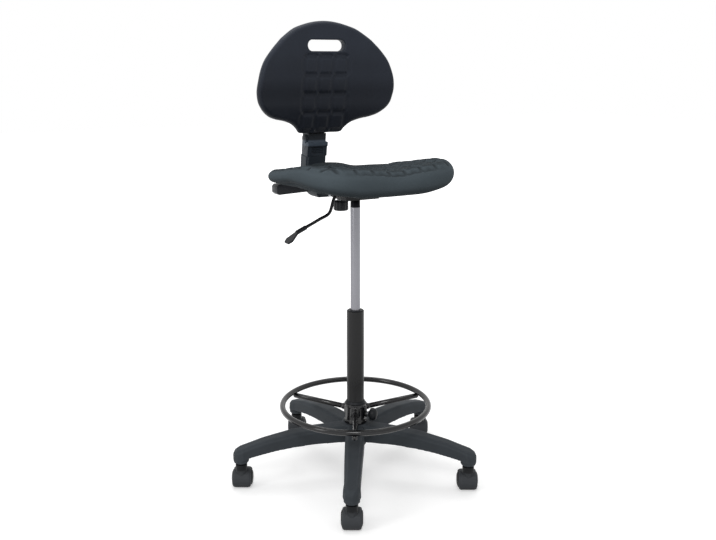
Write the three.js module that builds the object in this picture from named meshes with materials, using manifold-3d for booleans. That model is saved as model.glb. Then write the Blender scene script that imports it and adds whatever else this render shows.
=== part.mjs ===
// High swivel stool with a moulded seat and backrest, a gas lift, a foot ring and a five-star base.
// Millimetres and degrees, +Z up. The sitter faces -Y, so +X is at the sitter's left hand.
import * as THREE from 'three';
import { mergeVertices } from 'three/addons/utils/BufferGeometryUtils.js';
import Module from 'manifold-3d';

const wasm = await Module();
wasm.setup();

// Fits shared by all pieces
const fit = 0.3;
const overrun = 4;
const roundSides = 24;
const smallSides = 12;
const boltSides = 8;

// Casters
const wheelRadius = 25;
const wheelWidth = 21.5;
const wheelTreadWidth = 13;
const wheelShoulderWidth = 18.5;
const wheelShoulderDrop = 3;
const wheelFaceRadius = 17;
const wheelEdgeRadius = 1.5;
const wheelGap = 0.8;
const wheelSides = 16;
const casterWebWidth = 15;
const casterTrail = 18;
const casterHeading = 60;
const axleRadius = 3;
const axleSeatDepth = 12;
const hoodGap = 1.4;
const hoodWall = 3.4;
const hoodRimDrop = 2.4;
const hoodNeckHeight = 20.2;
const hoodCrownRadius = 17.5;
const hoodCrownChamfer = 1.5;
const hoodThroatRadius = 12;
const hoodThroatDrop = 33;
const hoodFlareDrop = 17;
const hoodNoseReach = 5;
const hoodNoseRise = 0.2;
const hoodFrontAngle = 222;
const hoodRearAngle = 28;
const hoodHubRadius = 8;
const hoodSides = 20;
const hoodSectorSteps = 4;
const hoodWebSteps = 8;
const stemShankRadius = 4;
const stemShankLength = 24;
const stemCollarRadius = 8;
const stemCollarHeight = 2.4;
const stemPinRadius = 5.5;
const stemPinLength = 36;
const stemChamfer = 1.5;
const stemSides = 10;

// Five-star base
const armCount = 5;
const firstArmAngle = -121;
const casterPivotRadius = 342;
const armRootTop = 164;
const armRootBottom = 113;
const armRootHalfWidth = 28;
const armChamfer = 8;
const armSideDraft = 1.5;
const armWall = 4;
const armTopWall = 5;
// Along an arm: radius as a share of the caster pivot radius, then top, underside and half width
// as shares of the root's height, the root's underside and the root's half width.
const armStationShares = [
  [0.09, 0.99, 1, 1.02], [0.38, 0.98, 1.04, 0.99], [0.575, 0.945, 1.01, 0.93],
  [0.71, 0.9, 0.97, 0.88], [0.81, 0.865, 0.92, 0.84], [0.92, 0.805, 0.86, 0.81],
];
// Round an arm's nose: turn in degrees, then top and underside as the same shares.
const armNoseShares = [[0, 0.755, 0.81], [40, 0.72, 0.8], [68, 0.67, 0.79], [84, 0.645, 0.78]];
const armHollowShares = [0.18, 0.45, 0.72, 0.91];
const armRibWall = 3;
const armRibRadiusShares = [0.24, 0.42, 0.6, 0.78];
const armRibLean = 38;
const armDimpleRadius = 5.5;
const armDimpleDepth = 4;
const armDimpleShare = 0.415;
const bossRadius = 23;
const bossHalfWidth = 24.8;
const bossBottomRadius = 18.4;
const bossNeckRadius = 22.6;
const bossTaperHeight = 5;
const hubRadius = 43;
const hubChamfer = 4;
const hubSkirt = 18;
const hubSkirtRadius = 32;

// Column tube and what it holds
const tubeRadius = 25;
const tubeWall = 1.8;
const tubeTop = 504;
const tubeStandOut = 1;
const tubeTaper = 1;
const tubeFloor = 4;
const tubeLip = 2.5;
const bushLength = 96;
const bushFlange = 2;
const bushFlangeInset = 3;

// Gas lift, drawn out to the height in the photograph
const cylinderRadius = 14;
const cylinderWall = 2;
const cylinderEngagement = 110;
const cylinderTaperLength = 45;
const cylinderSeatDepth = 20;
const cylinderTaper = 1.2;
const chamberCap = 92;
const rodRadius = 5;
const rodReach = 22;
const rodHeadHeight = 8;
const rodShoulderRadius = 8;
const rodShoulderHeight = 4;
const bearingRadius = 14;
const bearingHeight = 6;
const clipRadius = 8;
const clipThickness = 2.4;
const clipMouthShare = 0.8;
const grooveDepth = 1;
const rodTail = 3;
const pinRadius = 3.5;
const pinStandOut = 7;
const pinDepth = 12;
const pinBoreDepth = 18;

// Foot ring
const ringRadius = 214;
const ringTubeRadius = 8.2;
const ringTubeSides = 8;
const ringSteps = 45;
const ringRise = 53.7;
const spokeCount = 3;
const firstSpokeAngle = 0;
const spokeRadius = 7.6;
const spokeWeld = 1.5;
const lobeRadius = 15;
const lobeCentreRadius = 22;
const lobeRise = 21.7;
const lobeChamfer = 4;
const ringHubRadius = 32.5;
const ringHubWaistRadius = 30.2;
const ringHubFlange = 9;
const ringHubHeight = 60;
const ringHubChamfer = 2.5;
const sleeveWall = 2.4;
const sleeveConeHeight = 7;
const sleeveSlot = 4;
const clampAngle = -38;
const clampRise = 24.7;
const clampScrewRadius = 4;
const clampBossRadius = 8.5;
const clampBossLength = 3;
const knobRadius = 18.5;
const knobThickness = 24;
const knobProfileShares = [[0.62, 0], [0.9, 0.12], [1, 0.34], [0.97, 0.6], [0.8, 0.84], [0.45, 1]];
const knobNeckRadius = 9;
const knobNeckLength = 4;
const knobStandOff = 2;
const fluteOutlineSteps = 48;

// Seat mechanism
const plateRise = 42.7;
const plateThickness = 3;
const plateHalfWidth = 85;
const plateFront = -80;
const plateRear = 105;
const plateCornerRadius = 14;
const housingHalfWidth = 52;
const housingSheet = 3;
const housingFloor = 829;
const housingFront = -42;
const housingFloorRear = 30;
const housingRear = 116;
const housingRearRise = 14;
const socketRadius = 19;
const socketHeight = 24;
const boltRadius = 4;
const boltHeadRadius = 6.5;
const boltHeadHeight = 5.5;
const boltInset = 13;
const boltLength = 9;
const earThickness = 3;
const earHalfLength = 8;
const earGap = 0.7;
const leverPivotX = -38;
const leverPivotRise = 30;
const leverPinRadius = 2.5;
const leverRodRadius = 4.5;
const leverSlotHalfWidth = 8;
const leverSlotHalfHeight = 13;
const leverPinReach = 5;
const leverSteps = 20;
const recliningPivotY = 50;
const recliningPivotRise = 10;
const reclinePinRadius = 5;
const reclinePinHeadRadius = 8;
const reclinePinHeadHeight = 3;
const barEyeRadius = 9.5;
const barEyeGap = 2;
const tensionInset = 21;
const tensionScrewRadius = 4;
const tensionKnobDrop = 18;
const tensionKnobHeight = 28;
const tensionKnobRadius = 21.6;
const tensionKnobFlutes = 12;
const tensionKnobFluteDepth = 1.4;
const tensionKnobChamfer = 2.5;
const springRadius = 11;
const springWireRadius = 1.7;
const springCurls = 4;
const springStepsPerCurl = 8;
const springSides = 5;

// Back bar and its cover
const barWidth = 50;
const barThickness = 8;
const barFrontLap = 4;
const barBendRadius = 38;
const barBendSteps = 6;
const uprightClear = 63;
const uprightReferenceRise = 67;
const uprightLean = 7;
const barEndRise = 41;
const barSlotHalfWidth = 7;
const barSlotHalfLength = 11;
const coverWidth = 66;
const coverInner = 18;
const coverOuter = 29;
const coverClear = 2;
const coverRise = 88;
const coverChamfer = 5;

// Backrest bracket with its ratchet
const bracketWidth = 65;
const bracketThickness = 38;
const bracketSleeveLength = 29.7;
const bracketLedgeThickness = 12;
const bracketLedgeReach = 4;
const bracketNeckWidth = 57;
const bracketNeckThickness = 41;
const bracketNeckBack = 4.5;
const bracketBossRadius = 13;
const bracketBossReach = 8;
const bracketBossRise = 8;
const bracketShoulderRise = 26;
const bracketUpperThickness = 22;
const bracketUpperBack = 6;
const bracketNeckLength = 73;
const bracketRecessWidth = 38;
const bracketRecessDepth = 4;
const bracketRibCount = 5;
const bracketRibDepth = 2.4;
const bracketPlateWidth = 96;
const bracketPlateRise = 6;
const bracketPlateHeight = 86;
const bracketPlateThickness = 7;
const bracketPlateCorner = 12;
const pawlWidth = 12;
const pawlThickness = 2;
const pawlHeight = 34;
const pawlRise = 15;

// Backrest
const backrestHalfWidth = 219;
const backrestClear = 2;
const backrestHeight = 316;
const backrestCentreShare = 0.46;
const backrestHalfThickness = 15;
const backrestEdgeRadius = 12;
const backrestWrap = 30;
const backrestFaceShares = [0.12, 0.45, 0.8];
const backrestEdgeAngles = [90, 45, 0, -45, -90];
const backrestEdgeShare = 0.82;
const backrestOutlineShares = [
  [0, 1], [0.18, 0.988], [0.37, 0.953], [0.48, 0.92], [0.63, 0.85], [0.69, 0.813], [0.79, 0.744],
  [0.89, 0.658], [0.95, 0.57], [0.985, 0.481], [1, 0.389], [0.98, 0.304], [0.95, 0.256],
  [0.895, 0.209], [0.8, 0.162], [0.69, 0.135], [0.58, 0.12], [0.485, 0.1], [0.41, 0.072],
  [0.35, 0.035], [0.3, 0], [0.15, -0.003],
];
const backrestDepth = 40;
const backrestAhead = 40;
const backrestCurveShares = [[0, -0.08], [0.28, 0.45], [0.53, 0.75], [0.8, 0.9], [1, 0.82]];
const slotHalfLength = 63.5;
const slotHalfHeight = 17.5;
const slotDrop = 68;
const padWidth = 31;
const padPitchAcross = 48;
const padGroove = 2.8;
const backPadColumns = 3;
const backPadRows = 4;
const backPadHeight = 37;
const backPadPitch = 53.5;
const backPadDrop = 19.5;
const insertWidth = 120;
const insertRise = 17;
const insertHeight = 120;
const insertThickness = 5;
const insertCorner = 14;

// Seat
const seatHalfWidth = 223;
const seatHalfDepth = 215.5;
const seatCentreY = -24.5;
const seatSquareness = 4;
const seatRise = 72;
const seatCentreShare = 0.46;
const seatDishPower = 1.7;
const seatSideInset = 22;
const seatFrontInset = 38;
const seatSteps = 28;
const seatRimAngles = [-90, -65, -50, -36, -20, -8, 1, 12, 25, 45, 65, 78, 90];
const seatRimTopShares = [0.75, 0.89, 0.96, 0.97, 0.95, 0.85, 0.79, 0.69, 0.59, 0.4, 0.37, 0.54, 0.58];
const seatRimLowShares = [
  -0.18, -0.17, -0.06, 0.07, 0.18, 0.22, 0.22, 0.14, 0.06, -0.07, -0.1, -0.1, -0.11,
];
const seatEdgeAngles = [90, 52, 20, -20, -52, -90];
const seatTopRingShares = [0.5, 0.88];
const seatLowRingShare = 0.8;
const seatPadColumns = 7;
const seatPadRows = 6;
const seatPadLength = 37;
const seatPadPitch = 50;
const seatPadFrontInset = 62;
const panSideInset = 73;
const panFrontInset = 90;
const panRearInset = 27;
const panThickness = 8;
const panCorner = 40;
const beamSideInset = 45;
const beamRise = 5;
const beamDepth = 36;
const beamStandOut = 4;
const beamDrop = 39;
const beamHeight = 29;
const beamCorner = 6;
const beamNotchHalfWidth = 42;

// Height lever outside the housing: outward from its pivot as a share of its reach, then down from
// the pivot as a share of its drop
const leverReach = 142;
const leverDrop = 110;
const leverPathShares = [
  [0.134, 0.082], [0.218, 0.273], [0.317, 0.6], [0.521, 0.727], [0.761, 0.864], [1, 1],
];
const gripSleeveRadius = 6.5;
const gripSleeveLength = 28;
const gripBladeLength = 44;
const gripBladeRootHalfWidth = 7;
const gripBladeTipHalfWidth = 20;
const gripBladeThickness = 5;
const gripBladeShoulderShare = 0.72;
const gripBladeEndShare = 0.6;
const gripBladeDroop = 30;

// Heights and places that follow from the sizes above, from the casters upward

const hoodTopHeight = 2 * wheelRadius + hoodGap + hoodWall + hoodNeckHeight;
const hoodFlareHeight = hoodTopHeight - hoodFlareDrop;
const hoodThroatHeight = hoodTopHeight - hoodThroatDrop;
const tubeBottom = armRootBottom - hubSkirt - tubeStandOut;
const ringHubBottom = armRootTop + fit;
const ringHeight = ringHubBottom + ringRise;
const spokeHeight = ringHeight - ringTubeRadius - spokeRadius + spokeWeld;
const lobeBottom = ringHubBottom + lobeRise;
const clampHeight = ringHubBottom + clampRise;
const cylinderTop = housingFloor + cylinderSeatDepth;
const cylinderShoulder = cylinderTop - cylinderTaperLength;
const cylinderBottom = tubeTop - cylinderEngagement;
const chamberTop = cylinderShoulder - chamberCap;
const rodTop = cylinderBottom + rodReach;
const plateTop = housingFloor + plateRise;
const leverPivotHeight = housingFloor + leverPivotRise;
const recliningPivotHeight = housingFloor + recliningPivotRise;
const tensionY = plateRear - tensionInset;
const tensionKnobTop = housingFloor - tensionKnobDrop;
const tensionKnobBottom = tensionKnobTop - tensionKnobHeight;
const seatDatum = plateTop + fit;
const seatFront = seatCentreY - seatHalfDepth;
const seatRear = seatCentreY + seatHalfDepth;
const seatPadFrontY = seatFront + seatPadFrontInset;
const panHalfWidth = seatHalfWidth - panSideInset;
const panFront = seatFront + panFrontInset;
const panRear = seatRear - panRearInset;
const beamHalfWidth = seatHalfWidth - beamSideInset;
const beamRear = panRear + beamStandOut;
const beamFront = beamRear - beamDepth;
const beamBottom = seatDatum - beamDrop;
const beamTop = beamBottom + beamHeight;
const uprightY = seatRear + uprightClear;
const uprightReferenceHeight = recliningPivotHeight + uprightReferenceRise;
const barFront = recliningPivotY - barFrontLap;
const coverFront = beamRear + coverClear;
const coverTop = recliningPivotHeight + coverRise;
const bracketBottom = coverTop + fit;
const bracketLedgeBottom = bracketBottom + bracketSleeveLength;
const bracketLedgeTop = bracketLedgeBottom + bracketLedgeThickness;
const bracketBossHeight = bracketLedgeTop + bracketBossRise;
const bracketShoulder = bracketLedgeTop + bracketShoulderRise;
const bracketNeckTop = bracketShoulder + bracketNeckLength;
const barTop = bracketShoulder + barEndRise;
const pawlBottom = bracketLedgeTop + pawlRise;
const backrestFrontY = uprightY - backrestAhead;
const backrestBottom = bracketShoulder + backrestClear;
const insertBottom = backrestBottom + insertRise;
const insertTop = insertBottom + insertHeight;
const bracketPlateBottom = insertBottom + bracketPlateRise;
const bracketPlateTop = bracketPlateBottom + bracketPlateHeight;
const slotHeight = backrestBottom + backrestHeight - slotDrop;
const backPadTop = slotHeight - slotHalfHeight - backPadDrop;

// Geometry helpers

const degrees = THREE.MathUtils.degToRad;

function meshGeometry(points, faces) {
  const corners = points.map((point) => new THREE.Vector3(...point));
  let volume = 0;
  for (let i = 0; i < faces.length; i += 3) {
    const [a, b, c] = [corners[faces[i]], corners[faces[i + 1]], corners[faces[i + 2]]];
    volume += a.dot(new THREE.Vector3().crossVectors(b, c));
  }
  const outward = volume > 0 ? faces : [...faces].reverse();
  const geometry = new THREE.BufferGeometry();
  geometry.setAttribute('position', new THREE.Float32BufferAttribute(points.flat(), 3));
  geometry.setIndex(outward);
  return geometry;
}

// Joins rings of the same number of points into one closed skin with a fan at each end.
function loft(rings) {
  const count = rings[0].length;
  const points = rings.flat();
  const faces = [];
  for (let ring = 0; ring < rings.length - 1; ring += 1) {
    for (let side = 0; side < count; side += 1) {
      const a = ring * count + side;
      const b = ring * count + ((side + 1) % count);
      faces.push(a, b, b + count, a, b + count, a + count);
    }
  }
  const middleOf = (ring) => [0, 1, 2].map((axis) => (
    ring.reduce((sum, point) => sum + point[axis], 0) / count));
  const first = points.push(middleOf(rings[0])) - 1;
  const last = points.push(middleOf(rings[rings.length - 1])) - 1;
  const lastStart = (rings.length - 1) * count;
  for (let side = 0; side < count; side += 1) {
    const next = (side + 1) % count;
    faces.push(first, next, side);
    faces.push(last, lastStart + side, lastStart + next);
  }
  return meshGeometry(points, faces);
}

// A profile of [radius, height] turned about the Z axis; the outside runs upward.
function revolve(profile, sides = roundSides) {
  const points = profile.map(([radius, height]) => new THREE.Vector2(radius, height));
  if (profile[0][0] > 0) points.push(points[0].clone());
  return new THREE.LatheGeometry(points, sides).rotateX(Math.PI / 2);
}

function shapeOf(outline) {
  return new THREE.Shape(outline.map(([x, y]) => new THREE.Vector2(x, y)));
}

// An outline in the XY plane, raised from one height to another.
function prism(outline, bottom, top) {
  const depth = top - bottom;
  const solid = new THREE.ExtrudeGeometry(shapeOf(outline), { depth, bevelEnabled: false });
  return solid.translate(0, 0, bottom);
}

// An outline of [y, z] that runs across the stool, centred on the plane x = 0.
function acrossX(outline, width) {
  const frame = new THREE.Matrix4().makeBasis(
    new THREE.Vector3(0, 1, 0), new THREE.Vector3(0, 0, 1), new THREE.Vector3(1, 0, 0));
  return prism(outline, -width / 2, width / 2).applyMatrix4(frame);
}

// An outline of [x, z] that runs from one y to another.
function alongY(outline, from, to) {
  const frame = new THREE.Matrix4().makeBasis(
    new THREE.Vector3(1, 0, 0), new THREE.Vector3(0, 0, 1), new THREE.Vector3(0, -1, 0));
  return prism(outline, -to, -from).applyMatrix4(frame);
}

function box(x0, x1, y0, y1, z0, z1) {
  return new THREE.BoxGeometry(x1 - x0, y1 - y0, z1 - z0)
    .translate((x0 + x1) / 2, (y0 + y1) / 2, (z0 + z1) / 2);
}

function circleOutline(radius, sides = smallSides) {
  return Array.from({ length: sides }, (_, i) => {
    const angle = (2 * Math.PI * i) / sides;
    return [radius * Math.cos(angle), radius * Math.sin(angle)];
  });
}

function roundedRectangle(x0, x1, y0, y1, corner, steps = 4) {
  const outline = [];
  const centres = [[x1 - corner, y1 - corner], [x0 + corner, y1 - corner],
    [x0 + corner, y0 + corner], [x1 - corner, y0 + corner]];
  centres.forEach(([x, y], quarter) => {
    for (let step = 0; step <= steps; step += 1) {
      const angle = ((quarter + step / steps) * Math.PI) / 2;
      outline.push([x + corner * Math.cos(angle), y + corner * Math.sin(angle)]);
    }
  });
  return outline;
}

// A round bar from the origin along +X.
function roundBar(radius, from, to, sides = smallSides) {
  return prism(circleOutline(radius, sides), from, to).rotateY(Math.PI / 2);
}

function tubeAlong(curve, radius, sides, steps) {
  return new THREE.ExtrudeGeometry(shapeOf(circleOutline(radius, sides)), {
    steps, bevelEnabled: false, extrudePath: curve,
  });
}

function solidOf(geometry) {
  const bare = geometry.clone();
  bare.deleteAttribute('normal');
  bare.deleteAttribute('uv');
  const merged = mergeVertices(bare);
  const index = merged.index.array;
  const faces = [];
  for (let i = 0; i < index.length; i += 3) {
    const [a, b, c] = [index[i], index[i + 1], index[i + 2]];
    if (a !== b && b !== c && c !== a) faces.push(a, b, c);
  }
  return new wasm.Manifold(new wasm.Mesh({
    numProp: 3,
    vertProperties: new Float32Array(merged.attributes.position.array),
    triVerts: new Uint32Array(faces),
  }));
}

function geometryOf(solid) {
  const { vertProperties, triVerts } = solid.getMesh();
  const geometry = new THREE.BufferGeometry();
  geometry.setAttribute('position', new THREE.BufferAttribute(vertProperties, 3));
  geometry.setIndex(new THREE.BufferAttribute(triVerts, 1));
  return geometry;
}

const join = (first, ...others) => others.reduce((sum, other) => sum.add(solidOf(other)), solidOf(first));
const joinSolids = (solids) => solids.reduce((sum, solid) => sum.add(solid));
const cut = (solid, ...others) => others.reduce((rest, other) => rest.subtract(solidOf(other)), solid);
const shifted = (solid, x, y, z) => solidOf(geometryOf(solid).translate(x, y, z));
const turned = (solid, angle) => solidOf(geometryOf(solid).rotateZ(degrees(angle)));

// Reads a table of places and values, eased between them so that no place shows a crease.
function readTable(places, values, place) {
  const last = places.length - 1;
  if (place <= places[0]) return values[0];
  if (place >= places[last]) return values[last];
  const next = places.findIndex((candidate) => candidate > place);
  const share = (place - places[next - 1]) / (places[next] - places[next - 1]);
  const eased = share * share * (3 - 2 * share);
  return THREE.MathUtils.lerp(values[next - 1], values[next], eased);
}

// Finishes

const finish = (color, roughness, metalness) => () => new THREE.MeshStandardMaterial({
  color, roughness, metalness, flatShading: true,
});
const nylon = finish(0x2b2c31, 0.55, 0);
const treadNylon = finish(0x1f2023, 0.6, 0);
const steel = finish(0x8c8f93, 0.4, 1);
const chrome = finish(0x9b9ba1, 0.15, 1);
const blackSteel = finish(0x2a2a2b, 0.35, 0.3);
const blackPaint = finish(0x161618, 0.22, 0.2);
const plastic = finish(0x1c1e21, 0.5, 0);
const coverPlastic = finish(0x33373c, 0.5, 0);
const seatFoam = finish(0x454c52, 0.6, 0);
const backFoam = finish(0x25282e, 0.6, 0);

const stool = new THREE.Group();

function addPiece(name, shape, material, parent = stool) {
  const geometry = shape.isBufferGeometry ? shape : geometryOf(shape);
  const piece = new THREE.Mesh(geometry, material());
  piece.name = name;
  parent.add(piece);
  return piece;
}

// Five-star base

function armStations() {
  const run = armStationShares.map(([radius, top, bottom, width]) => ({
    radius: radius * casterPivotRadius,
    top: top * armRootTop,
    bottom: bottom * armRootBottom,
    halfWidth: width * armRootHalfWidth,
  }));
  const nose = armNoseShares.map(([turn, top, bottom]) => ({
    radius: casterPivotRadius + bossRadius * Math.sin(degrees(turn)),
    top: top * armRootTop,
    bottom: bottom * armRootBottom,
    halfWidth: bossHalfWidth * Math.cos(degrees(turn)),
  }));
  return [...run, ...nose];
}

function armRing({ radius, top, bottom, halfWidth }, chamfer) {
  const drawn = Math.min(armSideDraft, halfWidth / 4);
  const slope = Math.min(chamfer, (halfWidth - drawn) / 2);
  const side = halfWidth - drawn;
  return [
    [radius, -halfWidth, bottom], [radius, halfWidth, bottom], [radius, side, top - slope],
    [radius, side - slope, top], [radius, slope - side, top], [radius, -side, top - slope],
  ];
}

function armSolid() {
  return solidOf(loft(armStations().map((station) => armRing(station, armChamfer))));
}

function armHollow() {
  const inner = armHollowShares.map((share) => {
    const next = armStationShares.findIndex(([place]) => place > share);
    const [from, to] = [armStationShares[next - 1], armStationShares[next]];
    const between = (share - from[0]) / (to[0] - from[0]);
    return {
      radius: share * casterPivotRadius,
      top: THREE.MathUtils.lerp(from[1], to[1], between) * armRootTop - armTopWall,
      bottom: armRootBottom - armRootHalfWidth,
      halfWidth: THREE.MathUtils.lerp(from[3], to[3], between) * armRootHalfWidth - armWall,
    };
  });
  return solidOf(loft(inner.map((station) => armRing(station, armChamfer))));
}

function armRibs() {
  return armRibRadiusShares.map((share, index) => {
    const lean = degrees(index % 2 ? armRibLean : -armRibLean);
    const rib = box(-armRibWall / 2, armRibWall / 2, -2 * armRootHalfWidth, 2 * armRootHalfWidth,
      armRootBottom - 2 * armRootHalfWidth, armRootTop);
    return rib.rotateZ(lean).translate(share * casterPivotRadius, 0, 0);
  });
}

function starArm() {
  const arm = armSolid();
  const bossTop = armRootBottom * armNoseShares[0][2] + overrun;
  const bossFoot = hoodTopHeight + stemCollarHeight + 2 * fit;
  const boss = revolve([
    [0, bossFoot], [bossBottomRadius, bossFoot], [bossNeckRadius, bossFoot + bossTaperHeight],
    [bossNeckRadius, bossTop], [0, bossTop],
  ], smallSides).rotateZ(Math.PI / smallSides).translate(casterPivotRadius, 0, 0);
  const dimpleTop = armRootTop + overrun;
  const dimple = prism(circleOutline(armDimpleRadius), armRootTop - armDimpleDepth, dimpleTop)
    .translate(armDimpleShare * casterPivotRadius, 0, 0);
  const stemBore = prism(circleOutline(stemPinRadius + fit), bossFoot - overrun,
    bossFoot + stemPinLength).translate(casterPivotRadius, 0, 0);
  const open = arm.subtract(cut(armHollow(), ...armRibs())).add(solidOf(boss));
  return cut(open, dimple, stemBore);
}

function tubeRadiusAt(height) {
  return tubeRadius - tubeTaper * THREE.MathUtils.clamp(
    (armRootTop - height) / (armRootTop - tubeBottom), 0, 1);
}

function starBase() {
  const arm = starArm();
  const arms = Array.from({ length: armCount }, (_, index) => (
    turned(arm, firstArmAngle + (index * 360) / armCount)));
  const hubBottom = armRootBottom - hubSkirt;
  const hub = solidOf(revolve([
    [0, hubBottom], [hubSkirtRadius, hubBottom], [hubSkirtRadius, armRootBottom - fit],
    [hubRadius, armRootBottom - fit], [hubRadius, armRootTop - hubChamfer],
    [hubRadius - hubChamfer, armRootTop], [0, armRootTop],
  ]));
  const bore = revolve([
    [0, hubBottom - overrun], [tubeRadiusAt(hubBottom) + fit, hubBottom - overrun],
    [tubeRadiusAt(hubBottom) + fit, hubBottom], [tubeRadius + fit, armRootTop],
    [tubeRadius + fit, armRootTop + overrun], [0, armRootTop + overrun],
  ]);
  return cut(joinSolids([hub, ...arms]), bore);
}

addPiece('star_base', starBase(), nylon);

// Casters, built about the stem axis with the wheels trailing along +X

const wheelProfile = [
  [0, axleSeatDepth], [axleRadius + fit, axleSeatDepth], [axleRadius + fit, 0],
  [wheelRadius - wheelEdgeRadius, 0], [wheelRadius, wheelEdgeRadius], [wheelRadius, wheelTreadWidth],
  [wheelRadius - wheelShoulderDrop, wheelShoulderWidth], [wheelFaceRadius, wheelWidth], [0, wheelWidth],
];

// A facet of the tread faces down, and the facets, not their edges, lie at the wheel's radius.
function wheelGeometry(side) {
  const inner = casterWebWidth / 2 + wheelGap;
  const turn = side > 0 ? -Math.PI / 2 : Math.PI / 2;
  const halfFacet = Math.PI / wheelSides;
  const stretch = 1 / Math.cos(halfFacet);
  return revolve(wheelProfile, wheelSides).scale(stretch, stretch, 1).rotateZ(halfFacet)
    .rotateX(turn).translate(casterTrail, side * inner, wheelRadius);
}

function hoodSolid() {
  const inner = wheelRadius + hoodGap;
  const outer = inner + hoodWall;
  const halfWidth = casterWebWidth / 2 + wheelGap + wheelWidth - 2 * wheelEdgeRadius;
  const shoulder = casterWebWidth / 2 + wheelGap + wheelTreadWidth;
  const cover = (radius, ahead) => revolve([
    [0, -halfWidth], [radius - hoodRimDrop, -halfWidth], [radius, -shoulder],
    [radius, shoulder], [radius - hoodRimDrop, halfWidth], [0, halfWidth],
  ], hoodSides).rotateX(Math.PI / 2).translate(-ahead, 0, 0);
  const wheelSpace = alongY(circleOutline(inner, hoodSides), -halfWidth - overrun, halfWidth + overrun);
  const band = cut(join(cover(outer, 0), cover(outer + hoodNoseRise, hoodNoseReach)), wheelSpace);
  const reach = 2 * outer;
  const arc = (radius, steps) => Array.from({ length: steps + 1 }, (_, step) => {
    const angle = degrees(THREE.MathUtils.lerp(hoodRearAngle, hoodFrontAngle, step / steps));
    return [radius * Math.cos(angle), radius * Math.sin(angle)];
  });
  const sector = solidOf(alongY([[0, 0], ...arc(reach, hoodSectorSteps)], -reach, reach));
  const hub = circleOutline(hoodHubRadius).filter(([, z]) => z < -overrun);
  const web = alongY([...arc(outer - hoodRimDrop / 2, hoodWebSteps), ...hub],
    -casterWebWidth / 2, casterWebWidth / 2);
  const crown = revolve([
    [0, inner / 2], [hoodThroatRadius, hoodThroatHeight - wheelRadius],
    [hoodCrownRadius, hoodFlareHeight - wheelRadius],
    [hoodCrownRadius, hoodTopHeight - hoodCrownChamfer - wheelRadius],
    [hoodCrownRadius - hoodCrownChamfer, hoodTopHeight - wheelRadius], [0, hoodTopHeight - wheelRadius],
  ], 2 * boltSides).translate(-casterTrail, 0, 0);
  const wheelSweep = [-1, 1].map((side) => {
    const face = side * (casterWebWidth / 2);
    const sweep = prism(circleOutline(inner, hoodSides), 0, wheelWidth + wheelGap + overrun);
    return sweep.rotateX(side > 0 ? -Math.PI / 2 : Math.PI / 2).translate(0, face, 0);
  });
  const stemTop = hoodTopHeight - wheelRadius;
  const stemBore = prism(circleOutline(stemShankRadius + fit), stemTop - stemShankLength - fit,
    stemTop + overrun).translate(-casterTrail, 0, 0);
  const axleBore = alongY(circleOutline(axleRadius + fit), -casterWebWidth, casterWebWidth);
  const shell = band.intersect(sector).add(cut(solidOf(crown), ...wheelSweep)).add(solidOf(web));
  return shifted(cut(shell, stemBore, axleBore), casterTrail, 0, wheelRadius);
}

function stemGeometry() {
  const collar = hoodTopHeight + fit;
  const pinTop = collar + stemCollarHeight + stemPinLength - 2 * fit;
  return revolve([
    [0, hoodTopHeight - stemShankLength], [stemShankRadius, hoodTopHeight - stemShankLength],
    [stemShankRadius, collar], [stemCollarRadius, collar], [stemCollarRadius, collar + stemCollarHeight],
    [stemPinRadius, collar + stemCollarHeight], [stemPinRadius, pinTop - stemChamfer],
    [stemPinRadius - stemChamfer, pinTop], [0, pinTop],
  ], stemSides);
}

function axleGeometry() {
  const half = casterWebWidth / 2 + wheelGap + axleSeatDepth - fit;
  return alongY(circleOutline(axleRadius), -half, half).translate(casterTrail, 0, wheelRadius);
}

const hood = hoodSolid();
for (let index = 0; index < armCount; index += 1) {
  const angle = degrees(firstArmAngle + (index * 360) / armCount);
  const caster = new THREE.Group();
  caster.position.set(casterPivotRadius * Math.cos(angle), casterPivotRadius * Math.sin(angle), 0);
  caster.rotation.z = degrees(casterHeading);
  stool.add(caster);
  const number = index + 1;
  addPiece(`caster_hood_${number}`, hood, nylon, caster);
  addPiece(`caster_stem_${number}`, stemGeometry(), steel, caster);
  addPiece(`caster_axle_${number}`, axleGeometry(), steel, caster);
  addPiece(`caster_wheel_left_${number}`, wheelGeometry(1), treadNylon, caster);
  addPiece(`caster_wheel_right_${number}`, wheelGeometry(-1), treadNylon, caster);
}

// Column tube, guide bush and the parts at the foot of the piston rod

const tubeBore = tubeRadius - tubeWall;
const rodHole = rodRadius + fit;

addPiece('column_tube', revolve([
  [rodHole, tubeBottom], [tubeRadiusAt(tubeBottom), tubeBottom], [tubeRadius, armRootTop],
  [tubeRadius, tubeTop - tubeLip], [tubeRadius - tubeLip / 2, tubeTop], [tubeBore, tubeTop],
  [tubeBore - tubeTaper, armRootTop], [tubeBore - tubeTaper, tubeBottom + tubeFloor],
  [rodHole, tubeBottom + tubeFloor],
]), blackSteel);

const bushRadius = tubeBore - fit;
const bushBore = cylinderRadius + fit;
addPiece('guide_bush', revolve([
  [bushBore, tubeTop - bushLength], [bushRadius - tubeTaper, tubeTop - bushLength],
  [bushRadius, tubeTop + fit], [tubeRadius - bushFlangeInset, tubeTop + fit],
  [tubeRadius - bushFlangeInset - bushFlange, tubeTop + fit + bushFlange],
  [bushBore, tubeTop + fit + bushFlange],
]), plastic);

const bearingBottom = tubeBottom + tubeFloor + fit;
addPiece('thrust_bearing', revolve([
  [rodRadius + fit, bearingBottom], [bearingRadius, bearingBottom],
  [bearingRadius, bearingBottom + bearingHeight], [rodRadius + fit, bearingBottom + bearingHeight],
], smallSides), steel);

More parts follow.
